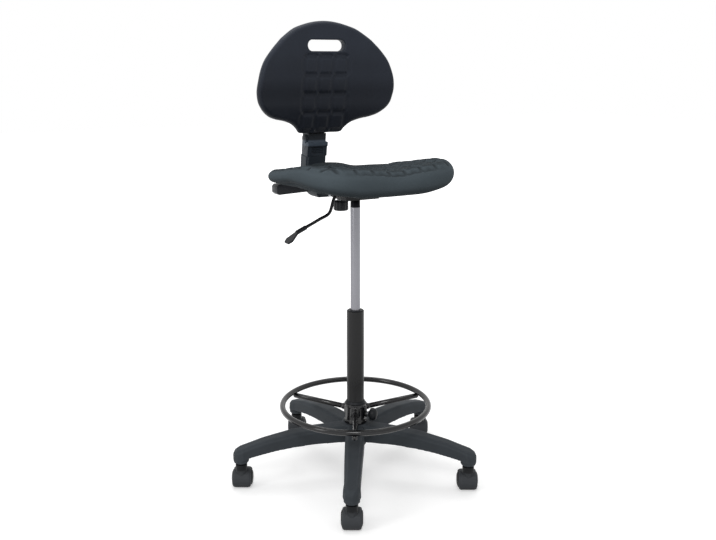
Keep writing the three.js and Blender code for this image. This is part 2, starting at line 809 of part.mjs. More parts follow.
const clipTop = tubeBottom - fit;
const clipBottom = clipTop - clipThickness;
const shoulderBottom = bearingBottom + bearingHeight + fit;
const headRadius = cylinderRadius - cylinderWall - fit;
addPiece('piston_rod', revolve([
  [0, clipBottom - rodTail], [rodRadius, clipBottom - rodTail], [rodRadius, clipBottom - fit],
  [rodRadius - grooveDepth, clipBottom - fit], [rodRadius - grooveDepth, clipTop + fit],
  [rodRadius, clipTop + fit], [rodRadius, shoulderBottom], [rodShoulderRadius, shoulderBottom],
  [rodShoulderRadius, shoulderBottom + rodShoulderHeight],
  [rodRadius, shoulderBottom + rodShoulderHeight], [rodRadius, rodTop - rodHeadHeight],
  [headRadius, rodTop - rodHeadHeight], [headRadius, rodTop], [0, rodTop],
], smallSides), steel);

function retainingClip() {
  const ring = prism(circleOutline(clipRadius, roundSides), clipBottom, clipTop);
  const low = clipBottom - overrun;
  const high = clipTop + overrun;
  const seat = prism(circleOutline(rodRadius - grooveDepth + fit), low, high);
  const mouthHalf = (rodRadius - grooveDepth) * clipMouthShare;
  const mouth = box(0, clipRadius + overrun, -mouthHalf, mouthHalf, low, high);
  return cut(solidOf(ring), seat, mouth);
}
addPiece('retaining_clip', retainingClip(), steel);

// Gas cylinder with its release pin

const chamberRadius = cylinderRadius - cylinderWall;
const cylinderTopRadius = cylinderRadius - cylinderTaper;
const pinBore = pinRadius + fit;

function gasCylinder() {
  const body = solidOf(revolve([
    [0, cylinderBottom], [cylinderRadius, cylinderBottom], [cylinderRadius, cylinderShoulder],
    [cylinderTopRadius, cylinderTop], [0, cylinderTop],
  ]));
  const chamber = revolve([
    [0, cylinderBottom - overrun], [rodHole, cylinderBottom - overrun],
    [rodHole, rodTop - rodHeadHeight - fit - cylinderWall],
    [chamberRadius, rodTop - rodHeadHeight - fit - cylinderWall],
    [chamberRadius, chamberTop], [0, chamberTop],
  ]);
  const pinHole = prism(circleOutline(pinBore), cylinderTop - pinBoreDepth, cylinderTop + overrun);
  return cut(body, chamber, pinHole);
}
addPiece('gas_cylinder', gasCylinder(), chrome);

const pinTop = cylinderTop + pinStandOut;
addPiece('release_pin', prism(circleOutline(pinRadius), cylinderTop - pinDepth, pinTop), steel);

// Foot ring, its sleeve and clamp

const sleeveBore = tubeRadius + fit;
const sleeveRadius = sleeveBore + sleeveWall;
const ringHubBore = sleeveRadius + fit;
const ringHubTop = ringHubBottom + ringHubHeight;

function turnedOut(geometry, angle, height) {
  return geometry.rotateZ(degrees(angle)).translate(0, 0, height);
}

function footRing() {
  const hoop = new THREE.TorusGeometry(ringRadius, ringTubeRadius, ringTubeSides, ringSteps)
    .translate(0, 0, ringHeight);
  const spokes = Array.from({ length: spokeCount }, (_, index) => turnedOut(
    roundBar(spokeRadius, ringHubBore + fit, ringRadius + ringTubeRadius / 2, ringTubeSides),
    firstSpokeAngle + (index * 360) / spokeCount, spokeHeight));
  const lobes = Array.from({ length: spokeCount }, (_, index) => {
    const lobe = revolve([
      [0, lobeBottom], [lobeRadius - lobeChamfer, lobeBottom], [lobeRadius, lobeBottom + lobeChamfer],
      [lobeRadius, ringHubTop - 2 * lobeChamfer], [lobeRadius - lobeChamfer, ringHubTop - lobeChamfer],
      [0, ringHubTop - lobeChamfer],
    ], smallSides).translate(lobeCentreRadius, 0, 0);
    return lobe.rotateZ(degrees(firstSpokeAngle + (index * 360) / spokeCount));
  });
  const hub = revolve([
    [0, ringHubBottom], [ringHubRadius, ringHubBottom],
    [ringHubRadius, ringHubBottom + ringHubFlange], [ringHubWaistRadius, ringHubBottom + ringHubFlange],
    [ringHubWaistRadius, ringHubTop - ringHubFlange], [ringHubRadius, ringHubTop - ringHubFlange],
    [ringHubRadius, ringHubTop - ringHubChamfer], [ringHubRadius - ringHubChamfer, ringHubTop],
    [0, ringHubTop],
  ]);
  const nut = turnedOut(roundBar(clampBossRadius, ringHubBore + fit, ringHubRadius + clampBossLength),
    clampAngle, clampHeight);
  const bore = prism(circleOutline(ringHubBore, roundSides), ringHubBottom - overrun, ringHubTop + overrun);
  const screwBore = turnedOut(roundBar(clampScrewRadius + fit, tubeRadius, ringHubRadius + knobRadius),
    clampAngle, clampHeight);
  return cut(join(hoop, ...spokes, ...lobes, hub, nut), bore, screwBore);
}
addPiece('foot_ring', footRing(), blackPaint);

function ringSleeve() {
  const sleeve = revolve([
    [sleeveBore, ringHubBottom], [sleeveRadius, ringHubBottom],
    [sleeveRadius, ringHubTop + fit], [ringHubRadius - ringHubChamfer, ringHubTop + fit],
    [sleeveBore + sleeveWall / 2, ringHubTop + fit + sleeveConeHeight],
    [sleeveBore, ringHubTop + fit + sleeveConeHeight],
  ]);
  const slot = box(0, ringHubRadius + overrun, -sleeveSlot / 2, sleeveSlot / 2,
    ringHubBottom - overrun, ringHubTop + sleeveConeHeight + overrun);
  return cut(solidOf(sleeve), slot.rotateZ(degrees(clampAngle + 180)));
}
addPiece('ring_sleeve', ringSleeve(), plastic);

const knobInner = ringHubRadius + clampBossLength + knobStandOff;
const knobFace = knobInner + knobNeckLength + knobThickness;
addPiece('clamp_screw', turnedOut(roundBar(clampScrewRadius, ringHubBore,
  knobInner + knobNeckLength), clampAngle, clampHeight), steel);

function flutedOutline(radius, flutes, depth) {
  return Array.from({ length: fluteOutlineSteps }, (_, step) => {
    const angle = (2 * Math.PI * step) / fluteOutlineSteps;
    const reach = radius + depth * (Math.cos(flutes * angle) - 1) / 2;
    return [reach * Math.cos(angle), reach * Math.sin(angle)];
  });
}

function clampKnob() {
  const base = knobInner + knobNeckLength;
  const rounded = knobProfileShares.map(([across, along]) => (
    [across * knobRadius, base + along * knobThickness]));
  const grip = revolve([[0, base], ...rounded, [0, knobFace]], 2 * boltSides);
  const neck = prism(circleOutline(knobNeckRadius), knobInner, knobInner + knobNeckLength + overrun);
  const bore = prism(circleOutline(clampScrewRadius + fit), knobInner - overrun,
    knobInner + knobNeckLength + fit);
  const knob = cut(join(grip, neck), bore);
  return turnedOut(geometryOf(knob).rotateY(Math.PI / 2), clampAngle, clampHeight);
}
addPiece('clamp_knob', clampKnob(), plastic);

// Seat mechanism: pressed housing with the socket for the gas cylinder

const plateBottom = plateTop - plateThickness;
const housingInner = housingHalfWidth - housingSheet;
const boltPlaces = [[-1, plateFront + boltInset], [1, plateFront + boltInset],
  [-1, plateRear - boltInset], [1, plateRear - boltInset]]
  .map(([side, y]) => [side * (plateHalfWidth - boltInset), y]);

function cylinderRadiusAt(height) {
  const share = (height - cylinderShoulder) / (cylinderTop - cylinderShoulder);
  return cylinderRadius - cylinderTaper * THREE.MathUtils.clamp(share, 0, 1);
}

function mechHousing() {
  const plateOutline = roundedRectangle(-plateHalfWidth, plateHalfWidth, plateFront, plateRear,
    plateCornerRadius);
  const plate = prism(plateOutline, plateBottom, plateTop);
  const sideOutline = [
    [housingFront, plateBottom + housingSheet / 2], [housingFront, housingFloor],
    [housingFloorRear, housingFloor], [housingRear, housingFloor + housingRearRise],
    [housingRear, plateBottom + housingSheet / 2],
  ];
  const sides = [-1, 1].map((side) => acrossX(sideOutline, housingSheet)
    .translate(side * (housingHalfWidth - housingSheet / 2), 0, 0));
  const floor = box(-housingHalfWidth, housingHalfWidth, housingFront, housingFloorRear,
    housingFloor, housingFloor + housingSheet);
  const front = box(-housingHalfWidth, housingHalfWidth, housingFront, housingFront + housingSheet,
    housingFloor, plateBottom + housingSheet / 2);
  const socket = prism(circleOutline(socketRadius, roundSides), housingFloor, housingFloor + socketHeight);
  const ears = [-1, 1].map((side) => {
    const near = side * (leverRodRadius + earGap);
    const far = side * (leverRodRadius + earGap + earThickness);
    return box(leverPivotX - earHalfLength, leverPivotX + earHalfLength, Math.min(near, far),
      Math.max(near, far), leverPivotHeight - earHalfLength, plateBottom + housingSheet / 2);
  });
  const taperTop = housingFloor + socketHeight + overrun;
  const taper = revolve([
    [0, housingFloor - overrun], [cylinderRadiusAt(housingFloor - overrun) + fit, housingFloor - overrun],
    [cylinderRadiusAt(taperTop) + fit, taperTop], [0, taperTop],
  ]);
  const earBore = alongY(circleOutline(leverPinRadius + fit), -socketRadius, socketRadius)
    .translate(leverPivotX, 0, leverPivotHeight);
  const leverSlot = box(-housingHalfWidth - overrun, -housingInner + overrun, -leverSlotHalfWidth,
    leverSlotHalfWidth, leverPivotHeight - 2 * leverSlotHalfHeight + overrun, plateBottom);
  const pinBoreAcross = acrossX(circleOutline(reclinePinRadius + fit), 2 * plateHalfWidth)
    .translate(0, recliningPivotY, recliningPivotHeight);
  const boltHoles = boltPlaces.map(([x, y]) => (
    prism(circleOutline(boltRadius + fit), plateBottom - overrun, plateTop + overrun).translate(x, y, 0)));
  const screwHole = prism(circleOutline(tensionScrewRadius + fit), plateBottom - overrun,
    plateTop + overrun).translate(0, tensionY, 0);
  return cut(join(plate, ...sides, floor, front, socket, ...ears), taper, earBore, leverSlot,
    pinBoreAcross, screwHole, ...boltHoles);
}
addPiece('mech_housing', mechHousing(), blackSteel);

boltPlaces.forEach(([x, y], index) => {
  const headBottom = plateBottom - fit - boltHeadHeight;
  const bolt = revolve([
    [0, headBottom], [boltHeadRadius, headBottom], [boltHeadRadius, plateBottom - fit],
    [boltRadius, plateBottom - fit], [boltRadius, plateBottom + boltLength], [0, plateBottom + boltLength],
  ], smallSides);
  addPiece(`seat_bolt_${index + 1}`, bolt.translate(x, y, 0), steel);
});

function reclinePin() {
  const inner = housingHalfWidth + fit;
  const half = inner + reclinePinHeadHeight;
  return revolve([
    [0, -half], [reclinePinHeadRadius, -half], [reclinePinHeadRadius, -inner],
    [reclinePinRadius, -inner], [reclinePinRadius, inner],
    [reclinePinHeadRadius, inner], [reclinePinHeadRadius, half], [0, half],
  ], smallSides).rotateY(Math.PI / 2).translate(0, recliningPivotY, recliningPivotHeight);
}
addPiece('recline_pin', reclinePin(), steel);

// Height lever: a bent rod on a cross pin, and its moulded grip

function leverCurve() {
  const inner = pinTop + fit + leverRodRadius;
  const outside = leverPathShares.map(([out, down]) => (
    [leverPivotX - out * leverReach, leverPivotHeight - down * leverDrop]));
  const places = [[leverPinReach, inner], [0, inner], [leverPivotX, leverPivotHeight], ...outside];
  const points = places.map(([x, z]) => new THREE.Vector3(x, 0, z));
  return new THREE.CatmullRomCurve3(points, false, 'centripetal');
}

function leverRod() {
  const rod = tubeAlong(leverCurve(), leverRodRadius, boltSides, leverSteps);
  const half = leverRodRadius + earGap + earThickness;
  const pin = alongY(circleOutline(leverPinRadius), -half, half)
    .translate(leverPivotX, 0, leverPivotHeight);
  return join(rod, pin);
}
addPiece('lever_rod', leverRod(), blackSteel);

function leverGrip() {
  const curve = leverCurve();
  const tip = curve.getPointAt(1);
  const ahead = curve.getTangentAt(1);
  const slope = Math.atan2(ahead.z, -ahead.x);
  const sleeve = roundBar(gripSleeveRadius, -gripSleeveLength, overrun + fit);
  const bore = roundBar(leverRodRadius + fit, -gripSleeveLength - overrun, fit);
  const shoulder = gripBladeLength * gripBladeShoulderShare;
  const endHalfWidth = gripBladeTipHalfWidth * gripBladeEndShare;
  const bladeOutline = [
    [0, -gripBladeRootHalfWidth], [shoulder, -gripBladeTipHalfWidth], [gripBladeLength, -endHalfWidth],
    [gripBladeLength, endHalfWidth], [shoulder, gripBladeTipHalfWidth], [0, gripBladeRootHalfWidth],
  ];
  const blade = prism(bladeOutline, -gripBladeThickness / 2, gripBladeThickness / 2)
    .rotateY(degrees(gripBladeDroop) / 2);
  const grip = cut(join(sleeve, blade), bore);
  return geometryOf(grip).rotateY(-slope).rotateZ(Math.PI).translate(tip.x, tip.y, tip.z);
}
addPiece('lever_grip', leverGrip(), plastic);

// Tension screw, spring and knob

const screwHeadTop = plateTop + fit + panThickness / 2;
const springTop = recliningPivotHeight - barThickness / 2 - fit;
const springBottom = tensionKnobTop + fit;
addPiece('tension_screw', revolve([
  [0, tensionKnobBottom + tensionKnobChamfer], [tensionScrewRadius, tensionKnobBottom + tensionKnobChamfer],
  [tensionScrewRadius, plateTop + fit], [boltHeadRadius, plateTop + fit],
  [boltHeadRadius, screwHeadTop], [0, screwHeadTop],
], smallSides).translate(0, tensionY, 0), steel);

class Helix extends THREE.Curve {
  getPoint(share, target = new THREE.Vector3()) {
    const angle = 2 * Math.PI * springCurls * share;
    const [low, high] = [springBottom + springWireRadius, springTop - springWireRadius];
    const height = THREE.MathUtils.lerp(low, high, share);
    return target.set(springRadius * Math.cos(angle), springRadius * Math.sin(angle), height);
  }
}

// Least gap of a tube to itself, between points that are more than half a curl apart.
function leastSelfGap(curve, radius, curls, steps) {
  const points = curve.getPoints(curls * steps);
  let least = Infinity;
  points.forEach((point, index) => {
    points.slice(index + steps / 2 + 1).forEach((other) => {
      least = Math.min(least, point.distanceTo(other) - 2 * radius);
    });
  });
  return least;
}

const helix = new Helix();
const springGap = leastSelfGap(helix, springWireRadius, springCurls, springStepsPerCurl);
console.log('least gap of the spring to itself, mm', springGap.toFixed(2));
addPiece('tension_spring', tubeAlong(helix, springWireRadius, springSides, springCurls * springStepsPerCurl)
  .translate(0, tensionY, 0), steel);

function tensionKnob() {
  const grip = prism(flutedOutline(tensionKnobRadius, tensionKnobFlutes, tensionKnobFluteDepth),
    tensionKnobBottom, tensionKnobTop);
  const bore = prism(circleOutline(tensionScrewRadius + fit), tensionKnobBottom + tensionKnobChamfer - fit,
    tensionKnobTop + overrun);
  return geometryOf(cut(solidOf(grip), bore)).translate(0, tensionY, 0);
}
addPiece('tension_knob', tensionKnob(), plastic);

// Back bar: one line in the plane x = 0, thickened into the bar, its cover and the slots in them

const leanSlope = Math.tan(degrees(uprightLean));
const uprightYAt = (height) => uprightY - (height - uprightReferenceHeight) * leanSlope;

// The centre line from one end to the other, with an arc where the bar turns upward.
function barLine(frontY, topHeight) {
  const corner = new THREE.Vector2(uprightYAt(recliningPivotHeight), recliningPivotHeight);
  const turn = degrees(90 + uprightLean);
  const tangent = barBendRadius * Math.tan(turn / 2);
  const centre = new THREE.Vector2(corner.x - tangent, recliningPivotHeight + barBendRadius);
  const line = [[frontY, recliningPivotHeight]];
  for (let step = 0; step <= barBendSteps; step += 1) {
    const angle = -Math.PI / 2 + (turn * step) / barBendSteps;
    line.push([centre.x + barBendRadius * Math.cos(angle), centre.y + barBendRadius * Math.sin(angle)]);
  }
  line.push([uprightYAt(topHeight), topHeight]);
  return line;
}

function thickened(line, outer, inner = outer) {
  const sideOf = (reach) => line.map(([y, z], index) => {
    const before = new THREE.Vector2(...line[Math.max(index - 1, 0)]);
    const here = new THREE.Vector2(y, z);
    const after = new THREE.Vector2(...line[Math.min(index + 1, line.length - 1)]);
    const into = here.clone().sub(before).normalize();
    const out = after.clone().sub(here).normalize();
    if (index === 0) into.copy(out);
    if (index === line.length - 1) out.copy(into);
    const middle = into.clone().add(out).normalize();
    const stretch = reach / middle.dot(out);
    return [y + middle.y * stretch, z - middle.x * stretch];
  });
  return [...sideOf(-inner), ...sideOf(outer).reverse()];
}

function backBar() {
  const bar = acrossX(thickened(barLine(barFront, barTop), barThickness / 2), barWidth);
  const eye = acrossX(circleOutline(barEyeRadius, roundSides), 2 * (housingInner - barEyeGap))
    .translate(0, recliningPivotY, recliningPivotHeight);
  const pinBoreAcross = acrossX(circleOutline(reclinePinRadius + fit), 2 * housingHalfWidth)
    .translate(0, recliningPivotY, recliningPivotHeight);
  const slot = box(-barSlotHalfWidth, barSlotHalfWidth, tensionY - barSlotHalfLength,
    tensionY + barSlotHalfLength, recliningPivotHeight - barThickness, recliningPivotHeight + barThickness);
  return cut(join(bar, eye), pinBoreAcross, slot);
}
addPiece('back_bar', backBar(), blackSteel);

// A slab in the frame of the upright: x across, from one height to another along the lean.
function uprightSlab(width, thickness, bottom, top, offset = 0) {
  const line = [bottom, top].map((height) => [uprightYAt(height) + offset, height]);
  return acrossX(thickened(line, thickness / 2), width);
}

const barClear = barThickness + 2 * fit;
const barWidthClear = barWidth + 2 * fit;

function backBarCover() {
  const line = barLine(coverFront, coverTop);
  const narrow = acrossX(thickened(line, coverOuter, coverInner), coverWidth - 2 * coverChamfer);
  const wide = acrossX(thickened(line, coverOuter - coverChamfer, coverInner - coverChamfer), coverWidth);
  const through = barLine(coverFront - overrun, coverTop + overrun);
  const hollow = acrossX(thickened(through, barClear / 2), barWidthClear);
  return cut(join(narrow, wide), hollow);
}
addPiece('back_bar_cover', backBarCover(), coverPlastic);

// Bracket: slides on the upright, ribbed in front, and carries the backrest

function backrestY(height, across) {
  const share = (height - backrestBottom) / backrestHeight;
  const shares = backrestCurveShares.map(([place]) => place);
  const values = backrestCurveShares.map(([, value]) => value);
  const wrap = backrestWrap * (across / backrestHalfWidth) ** 2;
  return backrestFrontY - backrestDepth * readTable(shares, values, share) - wrap;
}

// The flat joint between the backrest's insert and the bracket's plate, seen from the side.
const jointLowY = backrestY(insertBottom, 0) + backrestHalfThickness;
const jointHighY = backrestY(insertTop, 0) + backrestHalfThickness;
const jointSlope = (jointHighY - jointLowY) / (insertTop - insertBottom);
const jointYAt = (height) => jointLowY + (height - insertBottom) * jointSlope;

// A side view that follows the joint between two heights, from one distance behind it to another.
const alongJoint = (bottom, top, from, to) => [
  [jointYAt(bottom) + from, bottom], [jointYAt(top) + from, top],
  [jointYAt(top) + to, top], [jointYAt(bottom) + to, bottom],
];

function bracketPlate() {
  const outline = roundedRectangle(-bracketPlateWidth / 2, bracketPlateWidth / 2, bracketPlateBottom,
    bracketPlateTop, bracketPlateCorner);
  const slab = alongY(outline, -2 * bracketThickness, 2 * bracketThickness).translate(0, backrestFrontY, 0);
  const side = alongJoint(bracketPlateBottom, bracketPlateTop, fit, fit + bracketPlateThickness);
  return solidOf(slab).intersect(solidOf(acrossX(side, bracketPlateWidth)));
}

function backrestBracket() {
  const sleeve = uprightSlab(bracketWidth, bracketThickness, bracketBottom, bracketLedgeTop);
  const ledge = uprightSlab(bracketWidth, bracketThickness + bracketLedgeReach, bracketLedgeBottom,
    bracketLedgeTop, -bracketLedgeReach / 2);
  const neck = uprightSlab(bracketNeckWidth, bracketNeckThickness, bracketLedgeTop - overrun,
    bracketShoulder, bracketNeckBack);
  const upper = uprightSlab(bracketNeckWidth, bracketUpperThickness, bracketShoulder - overrun,
    bracketNeckTop, bracketUpperBack);
  const boss = acrossX(circleOutline(bracketBossRadius), bracketNeckWidth)
    .translate(-bracketBossReach, uprightYAt(bracketBossHeight), bracketBossHeight);
  const hollow = uprightSlab(barWidthClear, barClear, bracketBottom - overrun, barTop + overrun);
  const recessFront = -bracketThickness / 2 + bracketRecessDepth / 2 - overrun / 2;
  const recess = uprightSlab(bracketRecessWidth, bracketRecessDepth + overrun,
    bracketBottom + bracketRecessDepth, bracketLedgeBottom - fit, recessFront);
  const ribPitch = (bracketLedgeBottom - bracketBottom - bracketRecessDepth) / bracketRibCount;
  const ribs = Array.from({ length: bracketRibCount }, (_, index) => {
    const bottom = bracketBottom + bracketRecessDepth + index * ribPitch;
    return uprightSlab(bracketRecessWidth + fit, bracketRibDepth, bottom, bottom + ribPitch / 2,
      -bracketThickness / 2 + bracketRecessDepth - bracketRibDepth / 2);
  });
  const body = cut(join(sleeve, ledge, neck, upper, boss), recess);
  const ribbed = ribs.reduce((sum, rib) => sum.add(solidOf(rib)), body).add(bracketPlate());
  const pawlSlot = uprightSlab(pawlWidth + 2 * fit, pawlThickness + 2 * fit + barClear / 2,
    pawlBottom - fit, pawlBottom + pawlHeight + fit, barClear / 4 + pawlThickness / 2);
  return cut(ribbed, hollow, pawlSlot);
}
addPiece('backrest_bracket', backrestBracket(), coverPlastic);

addPiece('ratchet_pawl', uprightSlab(pawlWidth, pawlThickness, pawlBottom,
  pawlBottom + pawlHeight, barThickness / 2 + 2 * fit + pawlThickness / 2), steel);

// Backrest shell: rings about a middle point, from the middle of the front to that of the back

function backrestOutline() {
  const half = backrestOutlineShares.map(([across, up]) => (
    [across * backrestHalfWidth, backrestBottom + up * backrestHeight]));
  const other = half.slice(1).reverse().map(([x, z]) => [-x, z]);
  return [...half, [0, backrestBottom], ...other];
}

function backrestRing(inset, side, thicknessShare) {
  const centre = backrestBottom + backrestCentreShare * backrestHeight;
  return backrestOutline().map(([x, z]) => {
    const reach = Math.hypot(x, z - centre);
    const scale = (reach - inset(reach)) / reach;
    const across = x * scale;
    const height = centre + (z - centre) * scale;
    return [across, backrestY(height, across) + side * backrestHalfThickness * thicknessShare, height];
  });
}

function backrestBody() {
  const rings = [];
  const shareInset = (share) => (reach) => (reach - backrestEdgeRadius) * (1 - share) + backrestEdgeRadius;
  backrestFaceShares.forEach((share) => rings.push(backrestRing(shareInset(share), -1, 1)));
  backrestEdgeAngles.forEach((turn) => {
    const inset = backrestEdgeRadius * (1 - Math.cos(degrees(turn)));
    rings.push(backrestRing(() => inset, -1, Math.sin(degrees(turn)) * backrestEdgeShare));
  });
  [...backrestFaceShares].reverse().forEach((share) => {
    rings.push(backrestRing(shareInset(share), 1, 1));
  });
  return solidOf(loft(rings));
}

function stadium(halfLength, halfHeight, height) {
  const [low, high] = [height - halfHeight, height + halfHeight];
  return roundedRectangle(-halfLength, halfLength, low, high, halfHeight, 6);
}

// Channels between pads: strips that cross over the pads' field, kept to a skin of even depth
// that runs from outside the body, against the inward direction, to the channels' floor.
function channels(strips, body, inward) {
  const skinTop = shifted(body, ...inward.map((share) => -overrun * share));
  const floor = shifted(body, ...inward.map((share) => padGroove * share));
  return join(...strips).intersect(skinTop.subtract(floor));
}

function backrestShell() {
  const body = backrestBody();
  const front = backrestFrontY - 6 * backrestDepth;
  const rear = backrestFrontY + 4 * backrestDepth;
  const fieldHalf = ((backPadColumns - 1) * padPitchAcross + padWidth) / 2;
  const fieldBottom = backPadTop - (backPadRows - 1) * backPadPitch - backPadHeight;
  const gapAcross = padPitchAcross - padWidth;
  const gapUp = backPadPitch - backPadHeight;
  const upright = Array.from({ length: backPadColumns - 1 }, (_, index) => {
    const x = (index - (backPadColumns - 2) / 2) * padPitchAcross;
    return box(x - gapAcross / 2, x + gapAcross / 2, front, backrestFrontY, fieldBottom, backPadTop);
  });
  const level = Array.from({ length: backPadRows - 1 }, (_, index) => {
    const z = backPadTop - backPadHeight - index * backPadPitch;
    return box(-fieldHalf, fieldHalf, front, backrestFrontY, z - gapUp, z);
  });
  const grooves = channels([...upright, ...level], body, [0, 1, 0]);
  const slot = alongY(stadium(slotHalfLength, slotHalfHeight, slotHeight), front, rear);
  const pocketSide = alongJoint(insertBottom - overrun, insertTop + overrun, -insertThickness - fit,
    rear - backrestFrontY);
  const pocketOutline = roundedRectangle(-insertWidth / 2 - fit, insertWidth / 2 + fit,
    insertBottom - fit, insertTop + fit, insertCorner + fit);
  const pocket = solidOf(alongY(pocketOutline, front, rear))
    .intersect(solidOf(acrossX(pocketSide, insertWidth + overrun)));
  return cut(body.subtract(grooves).subtract(pocket), slot);
}

addPiece('backrest_shell', backrestShell(), backFoam);

function backrestInsert() {
  const side = alongJoint(insertBottom, insertTop, -insertThickness, 0);
  const outline = roundedRectangle(-insertWidth / 2, insertWidth / 2, insertBottom, insertTop,
    insertCorner);
  return solidOf(alongY(outline, 0, 2 * backrestFrontY)).intersect(solidOf(acrossX(side, insertWidth)));
}
addPiece('backrest_insert', backrestInsert(), steel);

// Seat pan with its rear beam, notched for the back bar

const panBottom = seatDatum;
const panTop = panBottom + panThickness;

function seatPan() {
  const plateOutline = roundedRectangle(-panHalfWidth, panHalfWidth, panFront, panRear, panCorner);
  const plate = prism(plateOutline, panBottom, panTop);
  const beams = [-1, 1].map((side) => alongY([
    [side * beamHalfWidth, beamBottom + beamCorner], [side * (beamHalfWidth - beamCorner), beamBottom],
    [side * beamNotchHalfWidth, beamBottom + beamRise], [side * beamNotchHalfWidth, beamTop],
    [side * (beamHalfWidth - beamCorner), beamTop], [side * beamHalfWidth, beamTop - beamCorner],
  ], beamFront, beamRear));
  const riser = box(-panHalfWidth + panCorner, panHalfWidth - panCorner, beamFront + beamCorner,
    panRear - beamCorner, beamBottom + beamCorner, panBottom + panThickness / 2);
  const notch = box(-beamNotchHalfWidth, beamNotchHalfWidth, beamFront - overrun, beamRear + overrun,
    beamBottom - overrun, panBottom);
  const boltHoles = boltPlaces.map(([x, y]) => (
    prism(circleOutline(boltRadius + fit), panBottom - overrun, panTop + overrun).translate(x, y, 0)));
  const headHole = prism(circleOutline(boltHeadRadius + fit), panBottom - overrun, panTop + overrun)
    .translate(0, tensionY, 0);
  return cut(join(plate, ...beams, riser), notch, headHole, ...boltHoles);
}
addPiece('seat_pan', seatPan(), plastic);

// Seat cushion: a squared oval outline, dished on top, with a rounded edge whose height varies

function seatPoint(step) {
  const angle = (2 * Math.PI * step) / seatSteps;
  const power = 2 / seatSquareness;
  const across = Math.sign(Math.cos(angle)) * Math.abs(Math.cos(angle)) ** power;
  const along = Math.sign(Math.sin(angle)) * Math.abs(Math.sin(angle)) ** power;
  const x = seatHalfWidth * across;
  const y = seatHalfDepth * along;
  const turn = THREE.MathUtils.radToDeg(Math.atan2(y, Math.abs(x)));
  const inset = THREE.MathUtils.lerp(seatSideInset, seatFrontInset, Math.max(0, -along) ** 2);
  return {
    x,
    y,
    inset,
    top: seatDatum + seatRise * readTable(seatRimAngles, seatRimTopShares, turn),
    low: seatDatum + seatRise * readTable(seatRimAngles, seatRimLowShares, turn),
  };
}

const seatRim = Array.from({ length: seatSteps }, (_, step) => seatPoint(step));
const seatCentreHeight = seatDatum + seatRise * seatCentreShare;

function seatTopRing(share) {
  return seatRim.map(({ x, y, inset, top }) => {
    const scale = share * (1 - inset / Math.hypot(x, y));
    const height = THREE.MathUtils.lerp(seatCentreHeight, top, share ** seatDishPower);
    return [x * scale, seatCentreY + y * scale, height];
  });
}

function seatEdgeRing(turn) {
  return seatRim.map(({ x, y, inset, top, low }) => {
    const scale = 1 - (inset * (1 - Math.cos(degrees(turn)))) / Math.hypot(x, y);
    const height = (top + low) / 2 + ((top - low) / 2) * Math.sin(degrees(turn));
    return [x * scale, seatCentreY + y * scale, height];
  });
}

function seatLowRing(share) {
  return seatRim.map(({ x, y }) => [x * share, seatCentreY + y * share, seatDatum]);
}

function seatCushion() {
  const body = solidOf(loft([
    ...seatTopRingShares.map(seatTopRing), ...seatEdgeAngles.map(seatEdgeRing),
    seatLowRing(seatLowRingShare),
  ]));
  const fieldHalf = ((seatPadColumns - 1) * padPitchAcross + padWidth) / 2;
  const fieldRear = seatPadFrontY + (seatPadRows - 1) * seatPadPitch + seatPadLength;
  const gapAcross = padPitchAcross - padWidth;
  const gapAlong = seatPadPitch - seatPadLength;
  const skinBottom = panTop + padGroove;
  const skinTop = seatDatum + 2 * seatRise;
  const along = Array.from({ length: seatPadColumns - 1 }, (_, index) => {
    const x = (index - (seatPadColumns - 2) / 2) * padPitchAcross;
    return box(x - gapAcross / 2, x + gapAcross / 2, seatPadFrontY, fieldRear, skinBottom, skinTop);
  });
  const across = Array.from({ length: seatPadRows - 1 }, (_, index) => {
    const y = seatPadFrontY + seatPadLength + index * seatPadPitch;
    return box(-fieldHalf, fieldHalf, y, y + gapAlong, skinBottom, skinTop);
  });
  const grooves = channels([...along, ...across], body, [0, 0, -1]);
  const pocketOutline = roundedRectangle(-panHalfWidth - fit, panHalfWidth + fit, panFront - fit,
    panRear + fit, panCorner + fit);
  const pocket = prism(pocketOutline, beamBottom, panTop + fit);
  return cut(body.subtract(grooves), pocket);
}
addPiece('seat_cushion', seatCushion(), seatFoam);

// The origin is on the floor, under the middle of the stool's bounding box.
stool.updateMatrixWorld(true);
const middle = new THREE.Box3().setFromObject(stool, true).getCenter(new THREE.Vector3());
stool.position.set(-middle.x, -middle.y, 0);

export default stool;
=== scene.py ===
"""Looks of the high swivel stool: moulded skins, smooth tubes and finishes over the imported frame.

Lengths are millimetres about the column's axis until place() turns them into metres in the row's frame.
"""

import math

import bmesh
import bpy
import numpy as np
from mathutils import Matrix, Vector

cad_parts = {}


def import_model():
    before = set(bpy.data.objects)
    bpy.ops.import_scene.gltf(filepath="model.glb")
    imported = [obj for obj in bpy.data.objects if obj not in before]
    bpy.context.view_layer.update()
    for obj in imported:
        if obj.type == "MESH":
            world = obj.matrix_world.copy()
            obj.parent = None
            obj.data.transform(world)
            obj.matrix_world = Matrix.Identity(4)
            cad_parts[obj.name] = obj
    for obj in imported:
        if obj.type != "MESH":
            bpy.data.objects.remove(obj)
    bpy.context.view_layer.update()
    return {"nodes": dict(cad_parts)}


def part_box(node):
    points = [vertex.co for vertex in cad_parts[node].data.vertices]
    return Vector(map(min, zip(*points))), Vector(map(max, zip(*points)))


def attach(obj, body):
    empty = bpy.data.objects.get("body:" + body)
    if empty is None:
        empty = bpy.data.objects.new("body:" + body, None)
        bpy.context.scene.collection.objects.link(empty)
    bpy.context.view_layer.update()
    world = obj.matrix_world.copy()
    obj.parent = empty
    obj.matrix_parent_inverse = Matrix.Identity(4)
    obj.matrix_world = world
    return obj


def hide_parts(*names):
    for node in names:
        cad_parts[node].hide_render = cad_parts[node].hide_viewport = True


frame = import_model()

MM = 0.001
tube_low, tube_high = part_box("column_tube")
AXIS = (tube_low + tube_high) / 2
AXIS.z = 0


